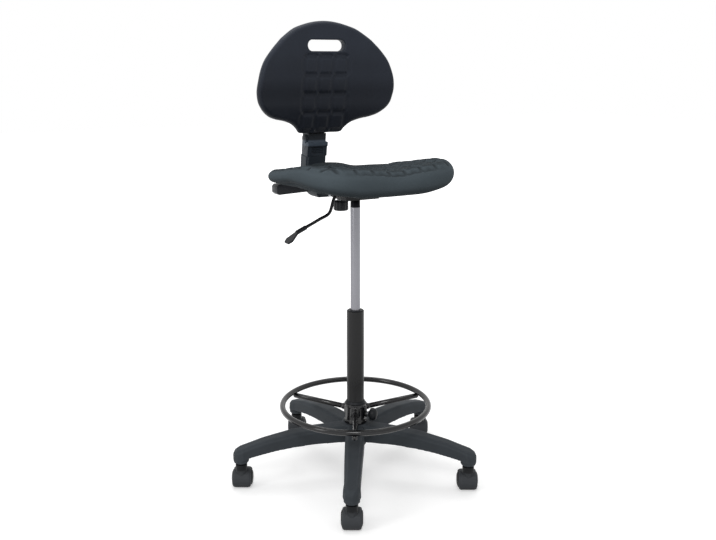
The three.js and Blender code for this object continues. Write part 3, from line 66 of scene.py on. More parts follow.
def low_high(node):
    """A node's corners in millimetres about the column's axis."""
    low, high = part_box(node)
    return (low - AXIS) / MM, (high - AXIS) / MM


def radius_of(node):
    low, high = low_high(node)
    return (high.x - low.x) / 2


# Camera, as solved from the photograph

PHOTO_WIDTH = 716
FOCAL_PIXELS = 900.75
SENSOR_WIDTH = 36
CAMERA_DISTANCE = 2495.4
CAMERA_HEIGHT = 1202.6
CAMERA_SIDE_STEP = 7.53
CAMERA_HEADING = 29.6
CAMERA_PITCH = 13.08

# Backrest, as in the solid, but with a fuller lip round the hand slot

BACK_BOTTOM = 997
BACK_HEIGHT = 316
BACK_HALF_WIDTH = 219
BACK_HALF_THICKNESS = 15
BACK_WRAP = 30
BACK_DEPTH = 40
BACK_FRONT_Y = 214
BACK_RIM_RADIUS = 12.5
BACK_OUTLINE_SHARES = [
    (0, 1), (0.18, 0.988), (0.37, 0.953), (0.48, 0.92), (0.63, 0.85), (0.69, 0.813), (0.79, 0.744),
    (0.89, 0.658), (0.95, 0.57), (0.985, 0.481), (1, 0.389), (0.98, 0.304), (0.95, 0.256),
    (0.895, 0.209), (0.8, 0.162), (0.69, 0.135), (0.58, 0.12), (0.485, 0.1), (0.41, 0.072),
    (0.35, 0.035), (0.3, 0), (0.15, -0.003),
]
BACK_CURVE_PLACES = (0, 0.28, 0.53, 0.8, 1)
BACK_CURVE_SHARES = (-0.08, 0.45, 0.75, 0.9, 0.82)
SLOT_HEIGHT = 1245
SLOT_HALF_LENGTH = 59.5
SLOT_HALF_HEIGHT = 15.8
SLOT_LIP_RADIUS = 5
BACK_PAD_TOP = 1208
BACK_SPOKES = 640
BACK_FRONT_RINGS = 150
BACK_REAR_RINGS = 50
BACK_OUTLINE_STEPS = 14
SLOT_END_POINTS = 60
EDGE_CROWDING = 0.45

# Pads, on the backrest and on the seat: the upright channels are shallow and the level ones deep

PAD_CORNER = 7
PAD_SLOPE = 4
PAD_CROWN = 1.2
PAD_CHANNEL_POWER = 1.3
BACK_PADS = dict(columns=3, rows=4, pitch=(48, 53.5), width=31, length=37, grooves=(2, 4.6), chevron=0)
SEAT_PADS = dict(columns=9, rows=7, pitch=(48, 50), width=34, length=38, grooves=(3.7, 4.2), chevron=0.3)

# Seat, as in the solid

SEAT_HALF_WIDTH = 223
SEAT_HALF_DEPTH = 215.5
SEAT_CENTRE_Y = -24.5
SEAT_SQUARENESS = 4
SEAT_DATUM = 872
SEAT_RISE = 72
SEAT_CENTRE_SHARE = 0.46
SEAT_DISH_POWER = 1.7
SEAT_SIDE_INSET = 22
SEAT_FRONT_INSET = 38
SEAT_RIM_ANGLES = (-90, -65, -50, -36, -20, -8, 1, 12, 25, 45, 65, 78, 90)
SEAT_RIM_TOP_SHARES = (0.75, 0.89, 0.96, 0.97, 0.95, 0.85, 0.79, 0.69, 0.59, 0.4, 0.37, 0.54, 0.58)
SEAT_RIM_LOW_SHARES = (-0.18, -0.17, -0.06, 0.07, 0.18, 0.22, 0.22, 0.14, 0.06, -0.07, -0.1, -0.1, -0.11)
SEAT_RIM_SPREAD = np.arange(-6, 7, 2)
SEAT_RIM_WEIGHTS = np.cos(np.radians(SEAT_RIM_SPREAD * 12)) + 0.3
SEAT_PAD_FRONT_Y = -219
SEAT_PAD_EDGE = 5
SEAT_PAD_FADE = 13
SEAT_PAN_REAR_Y = 164
SEAT_PAN_SQUARENESS = 14
SEAT_PAN_LIP = 3
SEAT_PAN_CLEARANCE = 0.6
SEAT_SPOKES = 560
SEAT_OUTLINE_STEPS = 2
SEAT_TOP_RINGS = 110
SEAT_EDGE_RINGS = 30
SEAT_UNDER_RINGS = 9
SEAT_MIDDLE_SHARE = 0.004
SEAT_POCKET_SHARE = 0.5
SEAT_SMOOTHING = 10

# Painted shade and light: the backrest darker at its neck and lighter higher up, the seat darker on top and
# underneath

BACK_SHADE_BANDS = [(1120, 0.7), (1150, 0.94), (1185, 1.04), (1220, 1.16), (1250, 1.16), (1315, 1.08)]
SEAT_SHADE_SLOPES = [(-1, 0.3), (-0.7, 0.42), (-0.3, 0.85), (0, 0.95), (0.4, 1), (0.75, 0.8), (0.97, 0.4)]

# Bracket: a painted highlight on the ledge between the ribs, and painted shadow on the dark neck under the
# backrest

BRACKET_SHADE_BANDS = [(920, 0.9), (955, 0.9), (958, 2.3), (970, 2.3), (975, 0.45), (1080, 0.45)]

# Caster hood: painted shade, darker toward the floor, and painted shadow at the neck above the cover

HOOD_SHADE_BANDS = [(0, 0.55), (12, 0.9), (30, 1.15), (50, 1.1), (56, 0.8), (60, 0.3), (80, 0.2)]


# Helpers

def place(points):
    """Millimetres about the column's axis, as metres in the row's frame."""
    return np.asarray(points, float) * MM + np.array(AXIS)


def mesh_object(name, points, faces):
    mesh = bpy.data.meshes.new(name)
    mesh.from_pydata([tuple(p) for p in place(points)], [], faces)
    mesh.validate()
    mesh.update()
    mesh.shade_smooth()
    piece = bpy.data.objects.new(name, mesh)
    bpy.context.scene.collection.objects.link(piece)
    return piece


def face_outward(piece):
    """Turns the faces of a closed mesh outward."""
    edit = bmesh.new()
    edit.from_mesh(piece.data)
    bmesh.ops.recalc_face_normals(edit, faces=edit.faces)
    edit.to_mesh(piece.data)
    edit.free()
    return piece


def ring_faces(rings, count, closed):
    faces = []
    for ring in range(rings if closed else rings - 1):
        first = ring * count
        second = ((ring + 1) % rings) * count
        for side in range(count):
            after = (side + 1) % count
            faces.append((first + side, first + after, second + after, second + side))
    return faces


def loft(name, rings, closed=False):
    """A closed skin through rings of equal count: capped at both ends, or joined end to end."""
    rings = np.asarray(rings, float)
    steps, count = rings.shape[:2]
    points = rings.reshape(-1, 3)
    faces = ring_faces(steps, count, closed)
    if not closed:
        points = np.vstack([points, rings[0].mean(axis=0), rings[-1].mean(axis=0)])
        start, end = len(points) - 2, len(points) - 1
        last = (steps - 1) * count
        for side in range(count):
            after = (side + 1) % count
            faces.append((start, after, side))
            faces.append((end, last + side, last + after))
    return face_outward(mesh_object(name, points, faces))


CORNER_REACH_SHARE = 0.45
FINE_CORNER = 5


def rounded(profile, radius, steps=4):
    """A profile with its corners rounded off, for a revolve. Its two end points stay."""
    result = [profile[0]]
    for before, here, after in zip(profile, profile[1:], profile[2:]):
        here_v, into, out = Vector(here), Vector(before) - Vector(here), Vector(after) - Vector(here)
        reach = min(radius, into.length * CORNER_REACH_SHARE, out.length * CORNER_REACH_SHARE)
        start, end = here_v + into.normalized() * reach, here_v + out.normalized() * reach
        for step in range(steps + 1):
            share = step / steps
            one = start.lerp(here_v, share)
            two = here_v.lerp(end, share)
            result.append(tuple(one.lerp(two, share)))
    result.append(profile[-1])
    return result


def revolve(name, profile, segments, centre=(0, 0, 0), turn=None, hollow=False):
    """A profile of (radius, height), turned about Z. turn is a rotation about the centre.

    A hollow one closes its profile in a loop. Any other one gets a disc at each end.
    """
    angles = np.linspace(0, 2 * math.pi, segments, endpoint=False)
    rings = []
    for radius, height in profile:
        rings.append([(radius * math.cos(a), radius * math.sin(a), height) for a in angles])
    rings = np.array(rings)
    if turn is not None:
        rings = rings @ np.array(turn.to_3x3()).T
    return loft(name, rings + np.array(centre), closed=hollow)


def sweep(name, path, radius, sides=20):
    """A round tube along a list of points, of one radius or of one for each point."""
    points = [Vector(p) for p in path]
    tangents = []
    for index, point in enumerate(points):
        before, after = points[max(index - 1, 0)], points[min(index + 1, len(points) - 1)]
        tangents.append((after - before).normalized())
    normal = tangents[0].orthogonal().normalized()
    radii = radius if hasattr(radius, "__len__") else [radius] * len(points)
    rings = []
    for point, tangent, reach in zip(points, tangents, radii):
        normal = (normal - tangent * normal.dot(tangent)).normalized()
        side = tangent.cross(normal)
        rings.append([point + (normal * math.cos(a) + side * math.sin(a)) * reach
                      for a in np.linspace(0, 2 * math.pi, sides, endpoint=False)])
    return loft(name, rings)


def apply_modifiers(piece):
    bpy.context.view_layer.update()
    graph = bpy.context.evaluated_depsgraph_get()
    result = bpy.data.meshes.new_from_object(piece.evaluated_get(graph))
    piece.modifiers.clear()
    piece.data = result
    return piece


def copy_of(node, name):
    piece = bpy.data.objects.new(name, frame["nodes"][node].data.copy())
    piece.data.materials.clear()
    bpy.context.scene.collection.objects.link(piece)
    return piece


WEAR_FACTOR = 0.5


def softened(node, voxel, smoothing, name=None):
    """A solid's shape as a fine even skin, with its edges worn round. Lengths in millimetres."""
    piece = copy_of(node, name or f"{node}_skin")
    remesh = piece.modifiers.new("even skin", "REMESH")
    remesh.mode = "VOXEL"
    remesh.voxel_size = voxel * MM
    smooth = piece.modifiers.new("worn edges", "SMOOTH")
    smooth.factor = WEAR_FACTOR
    smooth.iterations = smoothing
    apply_modifiers(piece)
    piece.data.shade_smooth()
    return piece


WELD_REACH = 0.02
FLAT_ANGLE = 0.6
BEVEL_ANGLE = 28
BEVEL_SEGMENTS = 3
SHARP_ANGLE = 34


def bevelled(node, width):
    """A solid's shape with its sharp edges rounded by a bevel. Lengths in millimetres."""
    piece = copy_of(node, f"{node}_skin")
    weld = piece.modifiers.new("one skin", "WELD")
    weld.merge_threshold = WELD_REACH * MM
    flat = piece.modifiers.new("whole faces", "DECIMATE")
    flat.decimate_type = "DISSOLVE"
    flat.angle_limit = math.radians(FLAT_ANGLE)
    bevel = piece.modifiers.new("round edges", "BEVEL")
    bevel.width = width * MM
    bevel.segments = BEVEL_SEGMENTS
    bevel.limit_method = "ANGLE"
    bevel.angle_limit = math.radians(BEVEL_ANGLE)
    bevel.harden_normals = False
    apply_modifiers(piece)
    piece.data.shade_smooth()
    piece.data.set_sharp_from_angle(angle=math.radians(SHARP_ANGLE))
    return piece


def joined(name, pieces):
    """Several pieces as one object."""
    edit = bmesh.new()
    for piece in pieces:
        edit.from_mesh(piece.data)
    mesh = bpy.data.meshes.new(name)
    edit.to_mesh(mesh)
    edit.free()
    for piece in pieces:
        bpy.data.objects.remove(piece)
    whole = bpy.data.objects.new(name, mesh)
    bpy.context.scene.collection.objects.link(whole)
    mesh.shade_smooth()
    return whole


def dress(piece, body, material, slot, *nodes):
    """Gives a finished piece its material and its body, and hides the solids it stands for."""
    piece.data.materials.clear()
    piece.data.materials.append(material)
    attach(piece, body)
    if nodes:
        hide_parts(*nodes)
    return piece


def repaint(node, material):
    """A solid that keeps its shape and gets a finish."""
    piece = frame["nodes"][node]
    piece.data.materials.clear()
    piece.data.materials.append(material)


def smooth_step(value):
    value = np.clip(value, 0, 1)
    return value * value * (3 - 2 * value)


def eased(places, values, at):
    """A table of places and values, eased between them."""
    at = np.clip(np.asarray(at, float), places[0], places[-1])
    index = np.clip(np.searchsorted(places, at, side="right") - 1, 0, len(places) - 2)
    places, values = np.asarray(places, float), np.asarray(values, float)
    share = smooth_step((at - places[index]) / (places[index + 1] - places[index]))
    return values[index] + (values[index + 1] - values[index]) * share


def catmull(points, steps):
    """A closed smooth line through points."""
    points = np.asarray(points, float)
    count = len(points)
    result = []
    for index in range(count):
        p0, p1, p2, p3 = (points[(index + step) % count] for step in (-1, 0, 1, 2))
        for t in np.linspace(0, 1, steps, endpoint=False):
            result.append(0.5 * (2 * p1 + (p2 - p0) * t + (2 * p0 - 5 * p1 + 4 * p2 - p3) * t * t
                                 + (3 * p1 - p0 - 3 * p2 + p3) * t ** 3))
    return np.array(result)


OUTLINE_SPACING = 1.0


def evenly(outline):
    """A closed outline with its points close together."""
    result = []
    for here, after in zip(outline, np.roll(outline, -1, axis=0)):
        steps = max(1, math.ceil(np.linalg.norm(after - here) / OUTLINE_SPACING))
        result += [here + (after - here) * step / steps for step in range(steps)]
    return np.array(result)


def ray_lengths(outline, angles):
    """How far each ray from the origin goes to a closed outline about it."""
    outline = evenly(outline)
    turn = np.unwrap(np.arctan2(outline[:, 1], outline[:, 0]))
    if turn[-1] < turn[0]:
        outline, turn = outline[::-1], turn[::-1]
    reach = np.hypot(outline[:, 0], outline[:, 1])
    three_turns = np.concatenate([turn - 2 * math.pi, turn, turn + 2 * math.pi])
    order = np.argsort(three_turns)
    return np.interp(angles, three_turns[order], np.tile(reach, 3)[order])


def half_field(pads):
    """Half the length of a field of pads."""
    return ((pads["rows"] - 1) * pads["pitch"][1] + pads["length"]) / 2


def pad_relief(u, v, pads):
    """Height of a field of crowned pads with channels between them, about the field's middle."""
    middle_u, middle_v = (pads["columns"] - 1) / 2, (pads["rows"] - 1) / 2
    pitch_u, pitch_v = pads["pitch"]
    half_u, half_v = pads["width"] / 2, pads["length"] / 2
    place_u = np.clip(np.round(u / pitch_u + middle_u), 0, 2 * middle_u) - middle_u
    local_u = np.abs(u - place_u * pitch_u)
    v = v + pads["chevron"] * (local_u - half_u / 2)
    place_v = np.clip(np.round(v / pitch_v + middle_v), 0, 2 * middle_v) - middle_v
    local_v = np.abs(v - place_v * pitch_v)
    out_u, out_v = local_u - (half_u - PAD_CORNER), local_v - (half_v - PAD_CORNER)
    away = (np.hypot(np.maximum(out_u, 0), np.maximum(out_v, 0))
            + np.minimum(np.maximum(out_u, out_v), 0) - PAD_CORNER)
    gap = min(pitch_u - 2 * half_u, pitch_v - 2 * half_v)
    into_gap = np.clip((away + PAD_SLOPE / 2) / (gap + PAD_SLOPE), 0, 1)
    channel = np.sin(into_gap * math.pi) ** PAD_CHANNEL_POWER
    shallow, deep = pads["grooves"]
    groove = shallow + (deep - shallow) * smooth_step((out_v - out_u) / PAD_CORNER + 0.5)
    crown = np.clip(1 - (local_u / half_u) ** 2, 0, 1) * np.clip(1 - (local_v / half_v) ** 2, 0, 1)
    return PAD_CROWN * np.sqrt(crown) - groove * channel


# Materials

def new_material(name):
    material = bpy.data.materials.new(name)
    material.use_nodes = True
    tree = material.node_tree
    shader = tree.nodes["Principled BSDF"]
    return material, tree, shader


def add_node(tree, kind, **settings):
    node = tree.nodes.new(kind)
    for key, value in settings.items():
        if key in node.inputs:
            node.inputs[key].default_value = value
        else:
            setattr(node, key, value)
    return node


def colour_ramp(tree, factor, stops):
    ramp = tree.nodes.new("ShaderNodeValToRGB")
    while len(ramp.color_ramp.elements) < len(stops):
        ramp.color_ramp.elements.new(0.5)
    for element, (position, colour) in zip(ramp.color_ramp.elements, stops):
        element.position = position
        element.color = colour if hasattr(colour, "__len__") else (colour, colour, colour, 1)
    tree.links.new(factor, ramp.inputs["Fac"])
    return ramp.outputs["Color"]


def linear(hex_colour):
    """A colour as seen on a screen, as the linear colour that a shader takes."""
    parts = [int(hex_colour[i:i + 2], 16) / 255 for i in (1, 3, 5)]
    return tuple(c / 12.92 if c <= 0.04045 else ((c + 0.055) / 1.055) ** 2.4 for c in parts) + (1,)


def map_range(tree, value, low, high, to_low, to_high, kind="LINEAR"):
    """A value brought from one range to another."""
    node = add_node(tree, "ShaderNodeMapRange", interpolation_type=kind)
    sockets = {"From Min": low, "From Max": high, "To Min": to_low, "To Max": to_high}
    for socket, bound in sockets.items():
        node.inputs[socket].default_value = bound
    tree.links.new(value, node.inputs["Value"])
    return node.outputs["Result"]


def bumped(tree, height, strength, distance):
    """Links a height to the shader as a bump."""
    bump = add_node(tree, "ShaderNodeBump", Strength=strength, Distance=distance)
    tree.links.new(height, bump.inputs["Height"])
    tree.links.new(bump.outputs["Normal"], tree.nodes["Principled BSDF"].inputs["Normal"])


CLOUD_SCALE = 9.0
CELL_SHARE = 0.55
GLOSS_SWING = 0.05
HOLLOW_BEND = 0.44
RIDGE_BEND = 0.56
GRAIN_HEIGHT = 0.0003
STREAK_SCALE = 14.0
STREAK_SQUEEZE = (1, 1, 60)
STREAK_SHADE = 0.94
STREAK_HEIGHT = 0.0002
STREAK_GLOSS_DROP = 0.04
STREAK_GLOSS_RISE = 0.06


def moulded(name, colour, roughness, grain, depth, mottle=0.1, specular=0.15, edge_wear_and_shade=0.22):
    """A moulded or coated surface: fine grain, clouds of colour, uneven gloss, edges paler by wear and
    painted highlight, hollows darker by painted shade.
    """
    material, tree, shader = new_material(name)
    where = tree.nodes.new("ShaderNodeTexCoord").outputs["Object"]
    clouds = add_node(tree, "ShaderNodeTexNoise", Scale=CLOUD_SCALE, Detail=4.0, Roughness=0.55)
    fine = add_node(tree, "ShaderNodeTexNoise", Scale=float(grain), Detail=2.0, Roughness=0.6)
    cells = add_node(tree, "ShaderNodeTexVoronoi", Scale=float(grain) * CELL_SHARE)
    for texture in (clouds, fine, cells):
        tree.links.new(where, texture.inputs["Vector"])
    base = linear(colour)
    dark = tuple(c * (1 - mottle) for c in base[:3]) + (1,)
    light = tuple(min(c * (1 + mottle), 1) for c in base[:3]) + (1,)
    tinted = colour_ramp(tree, clouds.outputs["Fac"], [(0.3, dark), (0.7, light)])
    # Pointiness: edges paler, partly wear and partly painted highlight; hollows darker, painted shade.
    bend = tree.nodes.new("ShaderNodeNewGeometry").outputs["Pointiness"]
    shaded = add_node(tree, "ShaderNodeVectorMath", operation="SCALE")
    tree.links.new(tinted, shaded.inputs[0])
    tree.links.new(map_range(tree, bend, HOLLOW_BEND, RIDGE_BEND, 1 - edge_wear_and_shade, 1 + edge_wear_and_shade),
                   shaded.inputs["Scale"])
    tree.links.new(shaded.outputs[0], shader.inputs["Base Color"])
    gloss = colour_ramp(tree, clouds.outputs["Fac"],
                        [(0.25, roughness - GLOSS_SWING), (0.75, roughness + GLOSS_SWING)])
    tree.links.new(gloss, shader.inputs["Roughness"])
    mixed = add_node(tree, "ShaderNodeMath", operation="ADD")
    tree.links.new(fine.outputs["Fac"], mixed.inputs[0])
    tree.links.new(cells.outputs["Distance"], mixed.inputs[1])
    bumped(tree, mixed.outputs[0], depth, GRAIN_HEIGHT)
    shader.inputs["Specular IOR Level"].default_value = specular
    return material


def tinted_along(material, kind, output, stops):
    """Multiplies a finish's colour by factors along the height of a vector: stops of height and factor."""
    tree = material.node_tree
    colour = tree.nodes["Principled BSDF"].inputs["Base Color"]
    source = colour.links[0].from_socket
    parts = tree.nodes.new("ShaderNodeSeparateXYZ")
    tree.links.new(tree.nodes.new(kind).outputs[output], parts.inputs[0])
    low, high = stops[0][0], stops[-1][0]
    top = max(factor for height, factor in stops)
    factors = colour_ramp(tree, map_range(tree, parts.outputs["Z"], low, high, 0, 1),
                          [((height - low) / (high - low), factor / top) for height, factor in stops])
    scaled = add_node(tree, "ShaderNodeVectorMath", operation="SCALE", Scale=top)
    tree.links.new(factors, scaled.inputs[0])
    tinted = add_node(tree, "ShaderNodeVectorMath", operation="MULTIPLY")
    tree.links.new(source, tinted.inputs[0])
    tree.links.new(scaled.outputs[0], tinted.inputs[1])
    tree.links.new(tinted.outputs[0], colour)
    return material


def banded(material, bands):
    """Paints light and shade onto a finish by height in the piece: each band is a height in millimetres and
    a factor.
    """
    stops = [(height * MM, factor) for height, factor in bands]
    return tinted_along(material, "ShaderNodeTexCoord", "Object", stops)


def sloped(material, slopes):
    """Paints shade onto a finish by how it faces: each slope is a height of the normal, from -1 to 1, and a
    factor.
    """
    return tinted_along(material, "ShaderNodeNewGeometry", "Normal", slopes)


def metal(name, colour, roughness, depth=0.03):
    """Plated or drawn metal with faint streaks."""
    material, tree, shader = new_material(name)
    where = tree.nodes.new("ShaderNodeTexCoord").outputs["Object"]
    mapping = add_node(tree, "ShaderNodeMapping", Scale=STREAK_SQUEEZE)
    tree.links.new(where, mapping.inputs["Vector"])
    streaks = add_node(tree, "ShaderNodeTexNoise", Scale=STREAK_SCALE, Detail=6.0, Roughness=0.6)
    tree.links.new(mapping.outputs["Vector"], streaks.inputs["Vector"])
    base = linear(colour)
    shade = tuple(c * STREAK_SHADE for c in base[:3]) + (1,)
    tinted = colour_ramp(tree, streaks.outputs["Fac"], [(0.3, shade), (0.7, base)])
    tree.links.new(tinted, shader.inputs["Base Color"])
    gloss = colour_ramp(tree, streaks.outputs["Fac"],
                        [(0.3, roughness - STREAK_GLOSS_DROP), (0.7, roughness + STREAK_GLOSS_RISE)])
    tree.links.new(gloss, shader.inputs["Roughness"])
    bumped(tree, streaks.outputs["Fac"], depth, STREAK_HEIGHT)
    shader.inputs["Metallic"].default_value = 1.0
    return material


# The backrest's bands are painted shade low down and painted light higher up.
back_skin = banded(moulded("back_skin", "#272b33", 0.46, grain=1100, depth=0.16,
                           specular=0.1, edge_wear_and_shade=0.25), BACK_SHADE_BANDS)
# The seat's slopes are painted shade on its top and its underside.
seat_skin = sloped(moulded("seat_skin", "#444c51", 0.8, grain=1100, depth=0.16, mottle=0.08,
                           specular=0.05, edge_wear_and_shade=0.5), SEAT_SHADE_SLOPES)
nylon = moulded("nylon", "#383c40", 0.54, grain=1900, depth=0.1, mottle=0.09, specular=0.07, edge_wear_and_shade=0.35)
# The hood's bands are painted shade toward the floor and painted shadow at the neck.
hood_nylon = banded(moulded("hood_nylon", "#37393c", 0.46, grain=1900, depth=0.1, mottle=0.08,
                            specular=0.12), HOOD_SHADE_BANDS)
tread_nylon = moulded("tread_nylon", "#1e1f21", 0.5, grain=1700, depth=0.1, mottle=0.12)
tube_coat = moulded("tube_coat", "#1c1c1d", 0.3, grain=1500, depth=0.06, mottle=0.08, specular=0.2)
ring_paint = moulded("ring_paint", "#101012", 0.17, grain=500, depth=0.01, mottle=0.08, specular=0.42)
black_plastic = moulded("black_plastic", "#191b1e", 0.4, grain=1600, depth=0.1)
pan_plastic = moulded("pan_plastic", "#24262a", 0.42, grain=1600, depth=0.1)
cover_plastic = moulded("cover_plastic", "#252b31", 0.46, grain=1600, depth=0.12, mottle=0.07)
# The bracket's bands are a painted highlight on the ledge and painted shadow on the neck.
bracket_plastic = banded(moulded("bracket_plastic", "#272d34", 0.44, grain=1600, depth=0.12,
                                 mottle=0.08), BRACKET_SHADE_BANDS)
mech_coat = moulded("mech_coat", "#18191b", 0.4, grain=1500, depth=0.08)
chrome = metal("chrome", "#7f7f84", 0.3, depth=0.01)
taper_black = metal("taper_black", "#131316", 0.36)
zinc = metal("zinc", "#8c8e92", 0.34)
plate_steel = metal("plate_steel", "#45474b", 0.42)


# Backrest: a skin in rings from the hand slot's lip out to the rim and back behind

def back_middle_y(height, across):
    """Y of the backrest's middle surface."""
    share = (height - BACK_BOTTOM) / BACK_HEIGHT
    curve = eased(BACK_CURVE_PLACES, BACK_CURVE_SHARES, share)
    return BACK_FRONT_Y - BACK_DEPTH * curve - BACK_WRAP * (across / BACK_HALF_WIDTH) ** 2


def backrest_rim():
    half = [(x * BACK_HALF_WIDTH, BACK_BOTTOM + z * BACK_HEIGHT) for x, z in BACK_OUTLINE_SHARES]
    outline = half + [(0, half[-1][1])] + [(-x, z) for x, z in reversed(half[1:])]
    return catmull(outline, BACK_OUTLINE_STEPS) - np.array([0, SLOT_HEIGHT])


def slot_rim():
    middle = SLOT_HALF_LENGTH - SLOT_HALF_HEIGHT
    points = []
    for side in (1, -1):
        for turn in np.linspace(-90, 90, SLOT_END_POINTS):
            angle = math.radians(turn)
            points.append((side * (middle + SLOT_HALF_HEIGHT * math.cos(angle)),
                           side * SLOT_HALF_HEIGHT * math.sin(angle)))
    return np.array(points)


def edge_loss(away, radius):
    """What a round edge takes off the half thickness at a distance from it."""
    short = np.clip(radius - away, 0, radius)
    return radius - np.sqrt(np.maximum(radius ** 2 - short ** 2, 0))


def smooth_ends(count):
    """Shares from 0 to 1, closer together near both ends, where the edges are round."""
    even = np.linspace(0, 1, count)
    return (1 - EDGE_CROWDING) * even + EDGE_CROWDING * (1 - np.cos(even * math.pi)) / 2


def backrest():
    angles = np.linspace(0, 2 * math.pi, BACK_SPOKES, endpoint=False)
    inner = ray_lengths(slot_rim(), angles)
    outer = ray_lengths(backrest_rim(), angles)
    rim_slant = np.gradient(outer, angles) / outer
    slot_slant = np.gradient(inner, angles) / inner
    to_rim = 1 / np.sqrt(1 + rim_slant ** 2)
    to_slot = 1 / np.sqrt(1 + slot_slant ** 2)
    field_middle = BACK_PAD_TOP - half_field(BACK_PADS)

    def ring(share, side):
        reach = inner + (outer - inner) * share
        across, height = reach * np.cos(angles), SLOT_HEIGHT + reach * np.sin(angles)
        lost = (edge_loss((outer - reach) * to_rim, BACK_RIM_RADIUS)
                + edge_loss((reach - inner) * to_slot, SLOT_LIP_RADIUS))
        along = back_middle_y(height, across) + side * np.maximum(BACK_HALF_THICKNESS - lost, 0)
        if side < 0:
            along = along - pad_relief(across, height - field_middle, BACK_PADS)
        return np.stack([across, along, height], axis=1)

    front = [ring(share, -1) for share in smooth_ends(BACK_FRONT_RINGS)]
    rear = [ring(share, 1) for share in smooth_ends(BACK_REAR_RINGS)[::-1]]
    return loft("backrest", front + rear, closed=True)


# Seat: rings from the middle of the top, over the rolled edge, to the pan below

def rim_height(shares, turn):
    """The rim's height round the seat, smoothed over a few degrees so that no place shows a step."""
    total = sum(weight * eased(SEAT_RIM_ANGLES, shares, turn + step)
                for weight, step in zip(SEAT_RIM_WEIGHTS, SEAT_RIM_SPREAD))
    return total / SEAT_RIM_WEIGHTS.sum()


def seat_spokes():
    """For each spoke from the seat's middle: its angle, its end, and its rim's inset, top and foot."""
    angles = np.linspace(0, 2 * math.pi, SEAT_SPOKES, endpoint=False)
    power = 2 / SEAT_SQUARENESS
    across = np.sign(np.cos(angles)) * np.abs(np.cos(angles)) ** power
    along = np.sign(np.sin(angles)) * np.abs(np.sin(angles)) ** power
    corners = np.stack([across * SEAT_HALF_WIDTH, along * SEAT_HALF_DEPTH], axis=1)
    reach = ray_lengths(catmull(corners, SEAT_OUTLINE_STEPS), angles)
    x, y = reach * np.cos(angles), reach * np.sin(angles)
    turn = np.degrees(np.arctan2(y, np.abs(x)))
    front = np.maximum(0, -y / SEAT_HALF_DEPTH) ** 2
    inset = SEAT_SIDE_INSET + (SEAT_FRONT_INSET - SEAT_SIDE_INSET) * front
    top = SEAT_DATUM + SEAT_RISE * rim_height(SEAT_RIM_TOP_SHARES, turn)
    low = SEAT_DATUM + SEAT_RISE * rim_height(SEAT_RIM_LOW_SHARES, turn)
    return angles, x, y, inset, top, low


def seat_ring(x, y, scale, height):
    return np.stack([x * scale, SEAT_CENTRE_Y + y * scale, height], axis=1)


def seat_upper(x, y, inset, top, low):
    """Rings from the middle of the dish out to the rim and round the rolled edge, with the pads."""
    reach = np.hypot(x, y)
    middle = SEAT_DATUM + SEAT_RISE * SEAT_CENTRE_SHARE
    rings = []
    for share in np.linspace(SEAT_MIDDLE_SHARE, 1, SEAT_TOP_RINGS):
        height = middle + (top - middle) * share ** SEAT_DISH_POWER
        rings.append(seat_ring(x, y, share * (1 - inset / reach), height))
    for turn in np.linspace(math.pi / 2, -math.pi / 2, SEAT_EDGE_RINGS)[1:]:
        height = (top + low) / 2 + (top - low) / 2 * math.sin(turn)
        rings.append(seat_ring(x, y, 1 - inset * (1 - math.cos(turn)) / reach, height))
    rings = np.array(rings)
    for _ in range(SEAT_SMOOTHING):
        rings[1:-1] = (rings[:-2] + 2 * rings[1:-1] + rings[2:]) / 4
    field_middle = SEAT_PAD_FRONT_Y + half_field(SEAT_PADS)
    for ring in rings[:SEAT_TOP_RINGS - 1 + SEAT_EDGE_RINGS // 3]:
        from_rim = reach - np.hypot(ring[:, 0], ring[:, 1] - SEAT_CENTRE_Y)
        relief = pad_relief(ring[:, 0], ring[:, 1] - field_middle, SEAT_PADS)
        ring[:, 2] += relief * smooth_step((from_rim - SEAT_PAD_EDGE) / SEAT_PAD_FADE)
    return rings


def pan_rim_reach(angles, low, high):
    """How far spokes from the seat's middle go to the pan's soft-cornered rim."""
    half_x = np.where(np.cos(angles) > 0, high.x, -low.x)
    half_y = np.where(np.sin(angles) > 0, SEAT_PAN_REAR_Y - SEAT_CENTRE_Y, SEAT_CENTRE_Y - low.y)
    total = (np.abs(np.cos(angles) / half_x) ** SEAT_PAN_SQUARENESS
             + np.abs(np.sin(angles) / half_y) ** SEAT_PAN_SQUARENESS)
    return total ** (-1 / SEAT_PAN_SQUARENESS)


def seat():
    angles, x, y, inset, top, low = seat_spokes()
    upper = seat_upper(x, y, inset, top, low)
    pan_low, pan_high = low_high("seat_pan")
    reach = pan_rim_reach(angles, pan_low, pan_high) + SEAT_PAN_LIP
    rim = seat_ring(np.cos(angles), np.sin(angles), reach, np.full_like(angles, SEAT_DATUM))
    under = []
    for share in np.linspace(0, 1, SEAT_UNDER_RINGS + 1)[1:]:
        sag = np.array([0, 0, math.sin(share * math.pi) * SEAT_PAN_LIP])
        under.append(upper[-1] + (rim - upper[-1]) * share - sag)
    pocket = np.full_like(angles, pan_high.z + SEAT_PAN_CLEARANCE)
    wall = seat_ring(np.cos(angles), np.sin(angles), reach, pocket)
    inside = seat_ring(np.cos(angles), np.sin(angles), reach * SEAT_POCKET_SHARE, pocket)
    return loft("seat", np.concatenate([upper, under, [wall, inside]]))


backrest_piece = dress(backrest(), "backrest_unit", back_skin, "back_skin", "backrest_shell")
seat_piece = dress(seat(), "seat_unit", seat_skin, "seat_skin", "seat_cushion")


# Column tube, bush and gas cylinder

CLEARANCE = 0.3
SLEEVE_WALL = 2.4
TUBE_WALL = 2.6
TUBE_FOOT = 20
TUBE_EDGE = 1
TUBE_SEGMENTS = 96
BUSH_WALL_DEPTH = 50
BUSH_FLANGE = 1.6
BUSH_STAND_OUT = 2.2
BUSH_EDGE = 0.6
TAPER_LENGTH = 45
TAPER_LOSS = 1.2


